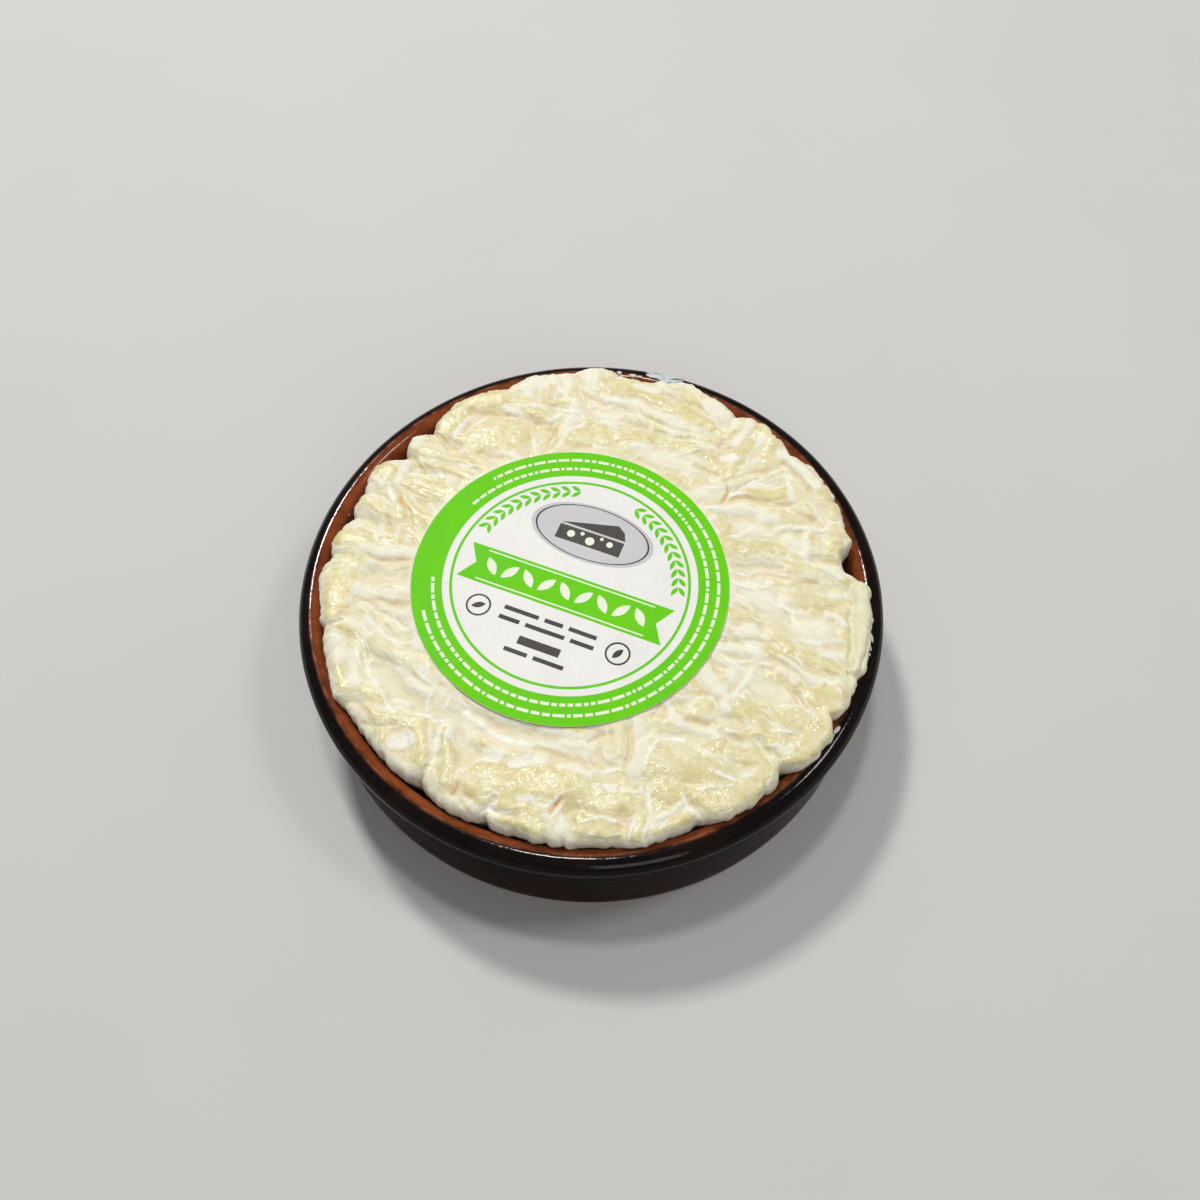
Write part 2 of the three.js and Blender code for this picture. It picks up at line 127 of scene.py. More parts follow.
    (-32.0, -27.2, 80, 6, 0, 0.5, 0.35, "l"), (-27.7, -28.4, 72, 4, 0, 0.45, 0.3, "l"), (-40.6, -27.0, -52, 10, 12, 0.6, 0.45, "l"),
    (-33.6, -31.2, -20, 9, 0, 0.6, 0.4, "l"), (-38.4, -14.6, -18, 8, 0, 0.5, 0.35, "l"), (-43.5, -21.4, -76, 6, 0, 0.5, 0.35, "l"),
    (30.6, -23.4, 58, 13, 42, 0.6, 0.45, "l"), (23.4, -31.0, 5, 6, 40, 0.5, 0.35, "l"), (12.3, -37.4, 55, 9, -75, 0.5, 0.35, "l"),
    (17.4, -36.0, -5, 5, 0, 0.5, 0.35, "l"), (31.0, -36.8, 4, 10, 12, 0.5, 0.3, "l"), (24.0, -39.4, -33, 6, 0, 0.5, 0.35, "l"),
    (25.4, -43.2, -28, 5, 30, 0.7, 0.35, "l"), (12.7, -39.8, -22, 4, 0, 0.4, 0.3, "l"), (15.2, -50.2, 28, 9, -14, 0.8, 0.4, "l"),
    (4.2, -45.2, -6, 13, -64, 0.5, 0.35, "l"), (42.6, -29.8, -48, 4, -40, 0.5, 0.35, "l"), (34.6, -32.2, -30, 4, 0, 0.4, 0.25, "l"),
    (41.4, -9.4, -80, 5, 50, 0.5, 0.3, "l"), (45.6, -14.8, 0, 6, 60, 0.5, 0.3, "l"), (48.6, -14.2, 20, 4, 0, 0.5, 0.3, "l"),
    (2.6, -51.2, 0, 9.5, -75, 0.5, 0.35, "l"), (2.6, -55.0, 0, 8, 50, 0.5, 0.25, "l"), (-6.3, -48.2, 38, 7, 0, 0.5, 0.35, "l"), (-5.8, -50.5, 44, 5, 0, 0.45, 0.3, "l"), (7.4, -53.9, 80, 6, -30, 0.5, 0.35, "l"),
    # creases
    (-40.4, 18.4, -55, 5, 0, 0.5, -0.5, "b"), (-43.5, 12.6, -78, 6, 20, 0.5, -0.6, "d"), (-23.4, 42.7, -4, 8, 20, 0.5, -0.7, "d"),
    (-28.0, 29.9, -24, 8, 0, 0.5, -0.5, "d"), (-43.0, 4.2, -8, 6, 0, 0.5, -0.4, "d"), (13.5, 40.9, -24, 15, 6, 0.45, -0.5, "c"),
    (18.0, 37.2, -17, 17, 5, 0.4, -0.4, "c"), (28.7, 22.0, 72, 4.4, 30, 0.3, -0.75, "b"), (36.2, 20.1, -7, 13, -18, 0.6, -0.6, "d"),
    (45.0, 16.2, -32, 8, 0, 0.6, -0.5, "d"), (44.4, 27.0, -60, 9, 0, 0.45, -0.6, "d"), (42.4, 28.4, -68, 5, 0, 0.4, -0.4, "c"),
    (33.0, 24.0, 32, 8, 0, 0.4, -0.4, "c"), (46.5, 8.6, 88, 4, 0, 0.4, -0.4, "d"), 
    (29.5, -14.1, -20, 7, 0, 0.5, -0.6, "c"), (21.6, -31.7, -12, 5, 30, 0.55, -0.7, "d"), (41.4, -27.4, -70, 4, 0, 0.5, -0.5, "d"),
    (10.6, -48.6, -82, 6, 0, 0.5, -0.5, "c"), (6.4, -51.6, 82, 3, 0, 0.6, -0.5, "d"), (-25.1, -45.9, 62, 3.0, 20, 0.32, -0.7, "b"),
    (-6.4, -49.4, 52, 4.2, -25, 0.32, -0.7, "b"), (-16.2, -50.9, -28, 5.5, 0, 0.55, -0.9, "c"), (-2.6, -40.7, -6, 8, 0, 0.5, -0.5, "d"),
    (-42.9, -8.1, -20, 12, -28, 0.5, -0.5, "c"), (-45.3, -16.2, -66, 6, 0, 0.5, -0.5, "c"), (-29.3, -36.8, -95, 8, 0, 0.5, -0.5, "c"),
    (-9.8, -33.2, 80, 2.5, 0, 0.4, -0.5, "d"), (-17.6, -35.3, -19, 6, 0, 0.45, -0.4, "d"), (-20.2, -50.4, 40, 4.5, 0, 0.45, -0.6, "c"), (6.5, -51.2, 0, 1, 0, 0.7, -0.5, "d"), (-23.0, -50.4, -55, 4, 0, 0.4, -0.6, "d"), (-15.0, -51.6, -8, 3, 0, 0.4, -0.5, "d"), (12.6, -29.4, 60, 3, 0, 0.5, -0.5, "d"), (-31.0, -31.6, -10, 6, 0, 0.5, -0.4, "c"),
]
# where the rind is barer or more bloomed than elsewhere: angle deg, radius, half width deg, half width mm, amount
TINT = [
    (250, 50, 18, 6, 0.4), (280, 50, 16, 6, 0.2), (312, 51, 32, 6, 0.3), (310, 50, 12, 5, 0.16), (330, 43, 14, 5, 0.32), (110, 41, 14, 5, 0.18), (70, 40, 14, 5, 0.22), (150, 41, 12, 5, 0.2), (70, 50, 12, 5, 0.14), (130, 50, 12, 5, 0.1), (195, 50, 18, 5, 0.12), (230, 50, 12, 5, 0.12),
    (190, 42, 14, 5, -0.22), (350, 42, 12, 5, -0.16), (290, 42, 14, 5, -0.14), (10, 52, 12, 5, -0.1), (246, 38, 14, 4, -0.35), (300, 48, 9, 5, -0.16),
]


# ---- noise and field helpers ----------------------------------------------------------------------
_lattice = {}


def noise2(x, y, seed):
    """Smooth gradient noise, about -1 to 1, one feature per unit."""
    if seed not in _lattice:
        a = np.random.RandomState(seed).rand(256, 256) * 2 * np.pi
        _lattice[seed] = (np.cos(a), np.sin(a))
    gx, gy = _lattice[seed]
    xi, yi = np.floor(x).astype(int), np.floor(y).astype(int)
    fx, fy = x - xi, y - yi
    u, v = fx * fx * fx * (fx * (fx * 6 - 15) + 10), fy * fy * fy * (fy * (fy * 6 - 15) + 10)

    def corner(i, j):
        a, b = (xi + i) & 255, (yi + j) & 255
        return gx[a, b] * (fx - i) + gy[a, b] * (fy - j)

    lo = corner(0, 0) * (1 - u) + corner(1, 0) * u
    hi = corner(0, 1) * (1 - u) + corner(1, 1) * u
    return 1.5 * (lo * (1 - v) + hi * v)


def fbm(x, y, seed, octaves=3, gain=0.5):
    total, amp, norm = 0.0, 1.0, 0.0
    for k in range(octaves):
        total = total + amp * noise2(x * 2**k + 17.3 * k, y * 2**k - 9.1 * k, seed + k)
        norm += amp
        amp *= gain
    return total / norm


def smooth(t):
    t = np.clip(t, 0.0, 1.0)
    return t * t * (3 - 2 * t)


def smin(a, b, k):
    """The lower of two heights, with a rounded join k wide."""
    h = np.clip(0.5 + 0.5 * (b - a) / k, 0, 1)
    return b * (1 - h) + a * h - k * h * (1 - h)


GRID, HALF = 0.2, 66.0
N = int(round(2 * HALF / GRID)) + 1
_axis = np.linspace(-HALF, HALF, N)
GX, GY = np.meshgrid(_axis, _axis)


def sample(field, x, y):
    """Bilinear reading of a grid field at points."""
    fx, fy = np.clip((x + HALF) / GRID, 0, N - 1.001), np.clip((y + HALF) / GRID, 0, N - 1.001)
    i, j = fx.astype(int), fy.astype(int)
    u, v = fx - i, fy - j
    return (field[j, i] * (1 - u) + field[j, i + 1] * u) * (1 - v) + (field[j + 1, i] * (1 - u) + field[j + 1, i + 1] * u) * v


def blur(field, sigma):
    """Gaussian blur of a grid field, sigma in mm."""
    k = np.fft.fftfreq(N, GRID)
    kr = np.fft.rfftfreq(N, GRID)
    w = np.exp(-2 * (np.pi * sigma) ** 2 * (k[:, None] ** 2 + kr[None, :] ** 2))
    return np.fft.irfft2(np.fft.rfft2(field) * w, s=field.shape)


def arc_points(mx, my, heading, length, bend, steps=8):
    pts = [(mx, my)]
    for s in (-1, 1):
        px, py = mx, my
        run = []
        for k in range(steps):
            a = math.radians(heading + s * bend * (k + 0.5) / (2 * steps))
            px += s * math.cos(a) * length / (2 * steps)
            py += s * math.sin(a) * length / (2 * steps)
            run.append((px, py))
        pts = run[::-1] + pts if s < 0 else pts + run
    return pts


def arc_distance(pts, x, y, reach):
    """Distance to a polyline, far points left at a large value."""
    out = np.full(x.shape, 99.0)
    p = np.array(pts)
    lo, hi = p.min(0) - reach, p.max(0) + reach
    j0, j1 = [int(np.clip((v + HALF) / GRID, 0, N)) for v in (lo[1], hi[1] + GRID)]
    i0, i1 = [int(np.clip((v + HALF) / GRID, 0, N)) for v in (lo[0], hi[0] + GRID)]
    xs, ys = x[j0:j1, i0:i1], y[j0:j1, i0:i1]
    best = np.full(xs.shape, 99.0)
    for (ax, ay), (bx, by) in zip(pts, pts[1:]):
        ux, uy = bx - ax, by - ay
        t = np.clip(((xs - ax) * ux + (ys - ay) * uy) / (ux * ux + uy * uy + 1e-9), 0, 1)
        best = np.minimum(best, np.hypot(xs - ax - t * ux, ys - ay - t * uy))
    out[j0:j1, i0:i1] = best
    return out


def label_under(x, y):
    return LABEL_Z + LABEL_WAVE * np.sin(0.11 * x + 0.05 * y + 0.8) * np.sin(0.09 * y - 0.04 * x + 0.3)


# ---- the cheese's outline ---------------------------------------------------------------------------
def outline(deg):
    deg = np.asarray(deg, float)
    r = np.full(deg.shape, LOBE_R)
    for a, d, w in NOTCHES:
        t = np.abs((deg - a + 540) % 360 - 180) / w
        r = r - d * np.exp(-(t ** (1.15 if w < 4 else 4.0)))
    for a, d, w in LOBES:
        t = ((deg - a + 540) % 360 - 180) / w
        r = r + d * np.exp(-(t**2))
    c, s = np.cos(np.radians(deg)), np.sin(np.radians(deg))
    r = r + 0.34 * noise2(c * 56 / 5.5, s * 56 / 5.5, 21) + 0.16 * noise2(c * 56 / 2.4, s * 56 / 2.4, 22)
    pleat = (1 - np.clip(np.abs(noise2(c * 56 / 4.2, s * 56 / 4.2, 23)) * 1.3, 0, 1)) ** 5
    return r + 0.12 - 0.75 * pleat * smooth((noise2(c * 56 / 11, s * 56 / 11, 24) + 0.35) / 0.7)


# ---- height and colour fields of the top --------------------------------------------------------------
R = np.hypot(GX, GY)
DEG = np.degrees(np.arctan2(GY, GX)) % 360
EDGE = outline(DEG) - R  # distance in from the outline
WX = GX + 0.9 * noise2(GX / 7, GY / 7, 1) + 0.34 * noise2(GX / 2.8, GY / 2.8, 2) + 0.08 * noise2(GX / 1.1, GY / 1.1, 5)
WY = GY + 0.9 * noise2(GX / 7, GY / 7, 3) + 0.34 * noise2(GX / 2.8, GY / 2.8, 4) + 0.08 * noise2(GX / 1.1, GY / 1.1, 6)
off_label = np.hypot(GX - LABEL_X, GY - LABEL_Y) - LABEL_R
seen = (EDGE > 2) & (off_label > 0)

folds = list(FOLDS)
for a, d, w in NOTCHES:
    if d < 0.9:
        continue
    length = 3.5 + 1.7 * d
    mid = LOBE_R - d - 0.25 * length
    folds.append((mid * math.cos(math.radians(a)), mid * math.sin(math.radians(a)), a + 11 * math.sin(a), length, 0, 0.6 + 0.12 * d, -0.45 - 0.22 * d, "c"))

# direction of the wrinkles: along nearby folds, radial where nothing else leads, and at the very edge
c2, s2 = np.zeros_like(GX), np.zeros_like(GX)
covered = np.full(GX.shape, 99.0)
distance = []
for mx, my, heading, length, bend, w, h, kind in folds:
    d = arc_distance(arc_points(mx, my, heading, length, bend, 6 if bend else 1), WX, WY, 10 if length > 4 else 3.2 * w + 3)
    distance.append(d)
    covered = np.minimum(covered, d - w)
    if length > 4:
        wt = np.exp(-((d / 5.0) ** 2)) * min(length, 16)
        c2 += wt * math.cos(2 * math.radians(heading))
        s2 += wt * math.sin(2 * math.radians(heading))
radial = np.radians(DEG)
edge_lead = 1.5 + 16 * smooth((R - 49) / 6)
c2 += edge_lead * np.cos(2 * radial)
s2 += edge_lead * np.sin(2 * radial)
angle = 0.5 * np.arctan2(blur(s2, 1.6), blur(c2, 1.6))

# small folds in between, following the same direction
rnd = np.random.RandomState(77)
taken = [(f[0], f[1]) for f in folds]
for _ in range(9000):
    px, py = rnd.uniform(-57, 57, 2)
    kind, length, w, h, lean = rnd.choice(["r", "w", "l", "d", "i"], p=[0.4, 0.25, 0.13, 0.2, 0.02]), rnd.uniform(0.8, 5.5), rnd.uniform(0.6, 1.35), rnd.uniform(0.25, 0.6), rnd.normal(0, 16)
    bend = rnd.uniform(-50, 50)
    if kind in "ld":
        length, bend = length * 1.5 + 1.5, bend * 1.5
    j, i = int((py + HALF) / GRID), int((px + HALF) / GRID)
    if not seen[j, i] or covered[j, i] < (0.15 if kind in "rwd" else -0.6):
        continue
    if min((px - q[0]) ** 2 + (py - q[1]) ** 2 for q in taken) < 2.5**2:
        continue
    if kind in "ld":
        w *= 0.4
    taken.append((px, py))
    folds.append((px, py, math.degrees(angle[j, i]) + lean, length, bend, w, -h if kind == "d" else h, str(kind)))
    distance.append(arc_distance(arc_points(*folds[-1][:5], 3), WX, WY, 3.2 * w + 3))

up, down, line_up = np.zeros_like(GX), np.zeros_like(GX), np.zeros_like(GX)
painted_shade, white_line, slit = np.zeros_like(GX), np.zeros_like(GX), np.zeros_like(GX)
roll_edge = np.full(GX.shape, 99.0)
ivory = 0.5 + 0.45 * fbm(WX / 8, WY / 8, 41, 2, 0.45) + 0.12 * fbm(GX / 2.6, GY / 2.6, 42, 2)
flick = 0.72 + 0.42 * noise2(GX / 3.2, GY / 3.2, 9) + 0.38 * noise2(GX / 1.1, GY / 1.1, 10)
frayed = 0.35 * fbm(GX / 1.3, GY / 1.3, 44, 3, 0.65)
for wanted in ("r", "wv", "i", "dclb"):
    for (mx, my, heading, length, bend, w, h, kind), d in zip(folds, distance):
        if kind not in wanted:
            continue
        q = d / w
        if kind in "rw":
            up += (h * np.exp(-(q**2.6))) ** 2.4
        elif kind == "l":
            taper = np.sqrt(np.clip(1 - (np.hypot(WX - mx, WY - my) / (0.6 * length)) ** 2, 0, 1))
            line_up = np.maximum(line_up, h * taper * np.exp(-(q**2)))
        elif h < 0:
            down += (-h * np.exp(-(q**2))) ** 2
        if kind == "r":
            roll_edge = np.minimum(roll_edge, d - w)
            t = smooth((1.2 - q + 0.5 * frayed) / 0.5)
            ivory += t * (0.9 + 0.1 * math.sin(7 * mx + 3 * my) - ivory)
        elif kind in "wv":
            t = smooth((1.2 - q + 0.5 * frayed) / 0.55) * (0.8 if kind == "w" else 0.7)
            ivory += t * (0.08 - ivory)
        elif kind == "i":
            t = smooth((1.15 - q + frayed / w) / 0.4)
            ivory += t * (0.0 - ivory)
            white_line = np.maximum(white_line, 0.55 * t)
        elif kind == "d":
            # painted shade: tan along the valleys
            painted_shade += 0.8 * np.exp(-((d / (1.25 * w + 0.15)) ** 2))
        elif kind == "c":
            white_line = np.maximum(white_line, flick * (1 - np.abs(d - 0.75 * w - 0.1) / 0.55))
        elif kind == "l":
            white_line = np.maximum(white_line, flick * (1.05 * taper - d / (1.5 * w)))
        elif kind == "b":
            slit = np.maximum(slit, 1 - d / np.maximum(0.62 * (1 - (np.hypot(WX - mx, WY - my) / (0.62 * length)) ** 2), 0.02))
            # painted shade: tan beside the slit
            painted_shade += 0.6 * np.exp(-((d / 0.8) ** 2))
for a, r, wa, wr, amount in TINT:
    ivory += amount * np.exp(-((((DEG - a + 540) % 360 - 180) / wa) ** 2) - ((R - r) / wr) ** 2)
up **= 1 / 2.4
near = np.clip(np.min([d - 0.9 * f[5] for f, d in zip(folds, distance)], axis=0), -3, 3)
down **= 1 / 2


def wrinkles(wavelength, along, across, spacing, seed, scatter):
    """Wrinkle pattern from many short wave packets that follow the local direction."""
    rnd = np.random.RandomState(seed)
    out = np.zeros_like(GX)
    reach = 2.5 * max(along, across)
    for gy in np.arange(-62, 62, spacing):
        for gx in np.arange(-62, 62, spacing):
            px, py = gx + rnd.uniform(0, spacing), gy + rnd.uniform(0, spacing)
            sign, phase, wl, turn = rnd.choice([-1, 1]), rnd.uniform(-1.2, 1.2), rnd.uniform(0.8, 1.25), rnd.normal(0, scatter)
            if math.hypot(px, py) > 61 or math.hypot(px - LABEL_X, py - LABEL_Y) < LABEL_R - 6:
                continue
            i0, i1 = int((px - reach + HALF) / GRID), int((px + reach + HALF) / GRID)
            j0, j1 = int((py - reach + HALF) / GRID), int((py + reach + HALF) / GRID)
            i0, i1, j0, j1 = max(i0, 0), min(i1, N), max(j0, 0), min(j1, N)
            th = angle[min(int((py + HALF) / GRID), N - 1), min(int((px + HALF) / GRID), N - 1)] + turn
            dx, dy = GX[j0:j1, i0:i1] - px, GY[j0:j1, i0:i1] - py
            u, v = dx * math.cos(th) + dy * math.sin(th), -dx * math.sin(th) + dy * math.cos(th)
            out[j0:j1, i0:i1] += sign * np.exp(-0.5 * ((u / along) ** 2 + (v / across) ** 2)) * np.cos(2 * np.pi * v / (wavelength * wl) + phase)
    return out / out[seen].std()


def streaks(field, length, steps=12):
    """Smears a field along the folds' direction, a few mm each way."""
    total, weight = field.copy(), 1.0
    ca, sa = np.cos(2 * angle), np.sin(2 * angle)
    for s in (-1, 1):
        x, y = GX.copy(), GY.copy()
        px, py = np.cos(angle) * s, np.sin(angle) * s
        for k in range(steps):
            a = 0.5 * np.arctan2(sample(sa, x, y), sample(ca, x, y))
            dx, dy = np.cos(a), np.sin(a)
            flip = np.where(dx * px + dy * py < 0, -1.0, 1.0)
            px, py = dx * flip, dy * flip
            x, y = x + px * length / steps, y + py * length / steps
            total += sample(field, x, y)
            weight += 1
    total /= weight
    return total / total[seen].std()


fine = np.abs(wrinkles(3.4, 2.2, 1.2, 1.7, 32, 0.4)) ** 0.8
fine -= fine[seen].mean()
finer = np.abs(wrinkles(1.9, 1.5, 0.75, 1.1, 33, 0.45)) ** 0.8
finer -= finer[seen].mean()
smear = streaks(noise2(GX / 0.9, GY / 0.9, 17) + 0.7 * noise2(GX / 1.9, GY / 1.9, 18), 4.0)

# thin white lips round the ivory rolls, with a narrow groove outside; both come and go
come = smooth((noise2(GX / 4.2, GY / 4.2, 55) + 0.2) / 0.5)
lip = np.clip(1 - np.abs(roll_edge - 0.05) / (0.6 + 0.3 * noise2(GX / 3, GY / 3, 57)), 0, 1) * come
groove = np.exp(-(((roll_edge - 0.75) / 0.42) ** 2)) * smooth((noise2(GX / 5.5, GY / 5.5, 56) + 0.2) / 0.5)
# tide lines the wrapper left on the rolls, one inside the other
nested = 0.5 + 0.5 * np.cos(2 * np.pi * (roll_edge + 0.25 * noise2(GX / 2, GY / 2, 52)) / 1.05)
nested = smooth((nested - 0.78) / 0.2) * (roll_edge < -0.35) * smooth((fbm(GX / 6, GY / 6, 53, 2) - 0.05) / 0.2)

free = np.clip(1.0 - 0.8 * np.clip(up, 0, 1), 0.2, 1)
z_raw = TOP_Z - 0.22 + 0.25 * fbm(GX / 26, GY / 26, 14, 2) + 1.3 * up - 1.0 * down + 0.8 * line_up
z_raw += 0.085 * fine * free * (0.8 + 0.6 * noise2(GX / 9, GY / 9, 15)) + 0.032 * finer + 0.015 * smear + 0.09 * lip - 0.2 * groove
z_raw += 0.07 * fbm(GX / 1.5, GY / 1.5, 46, 2) * np.clip(1.15 - ivory, 0, 1)
press = PRESS_Z - 0.12 + 0.22 * fbm(GX / 15, GY / 15, 16, 2)
z_top = blur(smin(z_raw, press, 0.5), 0.12)
# under the label the folds are held down; just outside they may rise again
z_top = smin(z_top, label_under(GX, GY) - 0.05 + np.clip(off_label, 0, 9) * 0.35, 0.12)
z_top = np.minimum(z_top, PRESS_Z + 0.14)
z_top += 0.75 * np.exp(-((np.clip(off_label, 0, 9) / 1.6) ** 2)) * np.clip(label_under(GX, GY) - 0.14 - z_top, 0, 1.5)

# one smooth lobe has slumped over towards the lip on the right, a groove on its inner side
lobe_mid = [(55.6, -1.5), (55.8, -5.0), (54.7, -13.0), (53.9, -16.4), (52.5, -20.5)]
lobe_d = arc_distance(lobe_mid, GX + 0.25 * noise2(GX / 3, GY / 3, 121), GY, 8)
lobe_w = 2.15 - 1.1 * smooth((-GY - 8) / 14)
lobe_q = lobe_d / lobe_w
dome = TOP_Z - 1.0 + 1.65 * np.sqrt(np.clip(1 - np.clip(lobe_q, 0, 1) ** 2, 0, 1))
on_lobe = smooth((1.12 - lobe_q) / 0.2)
z_top -= 1.0 * np.exp(-(((lobe_d - lobe_w - 0.1) / 0.42) ** 2)) * (R < 56)
z_top += on_lobe * (dome - z_top)

# colour: from white bloom (0) to bare ivory (1), spread evenly over the top
ivory = blur(ivory + 0.05 * smear, 0.1)
steps_q = np.linspace(0, 1, 41)
ivory = np.interp(ivory, np.quantile(ivory[seen], steps_q), steps_q)
threads = smooth((smear - 1.2) / 0.8) * np.clip(1.1 - ivory, 0, 1)
white_line = np.clip(np.maximum.reduce([white_line, 0.7 * lip, 0.35 * nested, 0.2 * threads]), 0, 1)
hollow = np.clip((blur(z_top, 1.2) - z_top) / 0.35, 0, 1)
# painted shade: tan in the valleys, beside the slits and in hollows away from the label's edge
painted_shade = np.clip(0.75 * painted_shade + 0.35 * hollow**1.3 * smooth(off_label / 4), 0, 1)
slit = np.clip(slit, 0, 1)
# used below to paint the white lighter on raised spots and darker in hollows: painted light and shade
crown_painted_light = np.clip(0.5 + (z_top - blur(z_top, 1.6)) / 0.5, 0, 1)  # how far a spot stands above what is round it
streak = streaks(noise2(GX / 0.5, GY / 0.5, 19) + 0.6 * noise2(GX / 1.1, GY / 1.1, 20), 1.8, 7)


# ---- mesh building ----------------------------------------------------------------------------------
def make_object(name, verts_mm, faces, smooth_shade=True):
    mesh = bpy.data.meshes.new(name)
    v = np.asarray(verts_mm, float) * MM
    mesh.vertices.add(len(v))
    mesh.vertices.foreach_set("co", v.astype(np.float32).ravel())
    sizes = np.array([len(f) for f in faces]) if not isinstance(faces, np.ndarray) else np.full(len(faces), faces.shape[1])
    flat = np.concatenate([np.asarray(f) for f in faces]) if not isinstance(faces, np.ndarray) else faces.ravel()
    mesh.loops.add(len(flat))
    mesh.loops.foreach_set("vertex_index", flat.astype(np.int32))
    mesh.polygons.add(len(sizes))
    mesh.polygons.foreach_set("loop_start", np.concatenate([[0], np.cumsum(sizes)[:-1]]).astype(np.int32))
    mesh.polygons.foreach_set("use_smooth", np.full(len(sizes), smooth_shade))
    mesh.update(calc_edges=True)
    mesh.validate()
    obj = bpy.data.objects.new(name, mesh)
    bpy.context.scene.collection.objects.link(obj)
    return obj


def ring_faces(n_ring, n, closed_ends=True):
    """Quads between rings of n points, with a point before and after them."""
    i = np.arange(n)
    i2 = (i + 1) % n
    faces = [np.stack([1 + k * n + i, 1 + k * n + i2, 1 + (k + 1) * n + i2, 1 + (k + 1) * n + i], 1) for k in range(n_ring - 1)]
    quads = np.concatenate(faces)
    end = 1 + n_ring * n
    first = np.stack([np.zeros(n, int), 1 + i2, 1 + i], 1)
    last = np.stack([1 + (n_ring - 1) * n + i, 1 + (n_ring - 1) * n + i2, np.full(n, end)], 1)
    return list(first) + list(quads) + list(last)


def add_attr(obj, name, values):
    a = obj.data.attributes.new(name, "FLOAT", "POINT")
    a.data.foreach_set("value", np.asarray(values, np.float32))


# ---- cheese -------------------------------------------------------------------------------------------
N_TH = 960
deg = np.arange(N_TH) * 360.0 / N_TH
ct, st = np.cos(np.radians(deg)), np.sin(np.radians(deg))
edge_r = outline(deg) - 0.6 * np.exp(-(((deg - 80.0) / 4.0) ** 4))
roll = ROLL - 1.35 + 0.75 * np.cos(np.radians(deg - 195)) + 0.45 * noise2(ct * 6, st * 6, 61)
# inner end of the fine part: a little inside the label's edge
b = LABEL_X * ct + LABEL_Y * st
inner_r = b + np.sqrt(np.maximum((LABEL_R - 2.5) ** 2 - (LABEL_X**2 + LABEL_Y**2) + b**2, 1))

rings, kinds = [], []
# underneath and up the hidden side, coarse
for r0, z0 in ((20, FLOOR + 0.5), (43.0, FLOOR + 0.5), (48.5, FLOOR + 2.6), (52.0, FLOOR + 6.5), (53.9, FLOOR + 11), (55.1, LIP_CZ - 1.5)):
    r = np.minimum(r0, edge_r - 0.3)
    rings.append((r, np.full(N_TH, z0)))
# the underside of the bulge, the rounded edge, the shoulder
near_lip = LIP_CZ + np.sqrt(np.clip(LIP_R**2 - np.clip(LIP_CR - edge_r - 0.3, 0, LIP_R) ** 2, 0, None))
near_lip = np.convolve(np.concatenate([near_lip[-12:], near_lip, near_lip[:12]]), np.full(25, 1 / 25), "valid")
zb = np.minimum(LOBE_Z, near_lip + 1.35) + 0.3 * noise2(ct * 9, st * 9, 62)
for phi in (-62, -44, -30, -18, -8):
    p = math.radians(phi)
    r = edge_r - 0.8 * (1 - math.cos(p))
    z = zb + 2.9 * math.sin(p)
    bead = LIP_CR - np.sqrt(np.clip(LIP_R**2 - np.clip(z - LIP_CZ, -LIP_R, LIP_R) ** 2, 0, None))
    r = np.where(z < HEIGHT + 0.1, np.minimum(r, bead - 0.12), r)
    rings.append((r, z))
for phi in (2, 11, 20, 29, 38, 47, 56, 64, 72, 80, 87):
    p = math.radians(phi)
    r = edge_r - roll * (1 - math.cos(p) ** 0.8)
    h = sample(z_top, r * ct, r * st)
    rings.append((r, zb + (h - zb) * math.sin(p) ** 0.8))
top_in = edge_r - roll * (1 - math.cos(math.radians(87)) ** 0.8)
for s in np.linspace(1, 0, 68)[1:]:
    r = inner_r + (top_in - inner_r) * s
    rings.append((r, sample(z_top, r * ct, r * st)))
n_low = 6
verts = [np.array([[0, 0, FLOOR + 0.5]])]
for r, z in rings:
    verts.append(np.stack([r * ct, r * st, z], 1))
verts.append(np.array([[LABEL_X, LABEL_Y, label_under(LABEL_X, LABEL_Y) - 0.4]]))
cv = np.concatenate(verts)
# grain of the edge and side: small lumps pushed out along the radius
rv = np.hypot(cv[:, 0], cv[:, 1])
zz = cv[:, 2]
on_side = smooth((zz - 22.5) / 1.5) * smooth((rv - sample(outline(DEG), cv[:, 0], cv[:, 1]) + 4.5) / 3.0)
arc_s = np.arctan2(cv[:, 1], cv[:, 0]) * 56
lump = 0.24 * noise2(arc_s / 1.7, zz / 3.5, 71) + 0.12 * noise2(arc_s / 1.0, zz / 0.8, 72)
scale = 1 + np.where(rv > 1, on_side * lump / np.maximum(rv, 1), 0)
cv[:, 0] *= scale
cv[:, 1] *= scale
cheese = make_object("cheese_wheel", cv, ring_faces(len(rings), N_TH))

side_white = smooth((PRESS_Z - 0.9 - zz) / 1.3) * smooth((rv - 50) / 4)
v_ivory = sample(ivory, cv[:, 0], cv[:, 1]) * (1 - 0.7 * side_white)
bulge = np.maximum(sample(on_lobe, cv[:, 0], cv[:, 1]), smooth((11 - np.abs((np.degrees(np.arctan2(cv[:, 1], cv[:, 0])) + 10 + 540) % 360 - 180)) / 2) * smooth((rv - 55.2) / 0.8))
v_ivory = np.maximum(v_ivory, 0.75 * bulge)
add_attr(cheese, "ivory", v_ivory)
add_attr(cheese, "white_line", sample(white_line, cv[:, 0], cv[:, 1]) * (1 - 0.7 * bulge))
# painted shade in the valleys and hollows, less of it on the side
add_attr(cheese, "painted_shade", sample(painted_shade, cv[:, 0], cv[:, 1]) * (1 - 0.6 * side_white))
add_attr(cheese, "crown_painted_light", sample(crown_painted_light, cv[:, 0], cv[:, 1]))
add_attr(cheese, "slit", sample(slit, cv[:, 0], cv[:, 1]))
add_attr(cheese, "bulge", bulge)
add_attr(cheese, "streak", sample(streak, cv[:, 0], cv[:, 1]))
add_attr(cheese, "near", sample(near, cv[:, 0], cv[:, 1]))


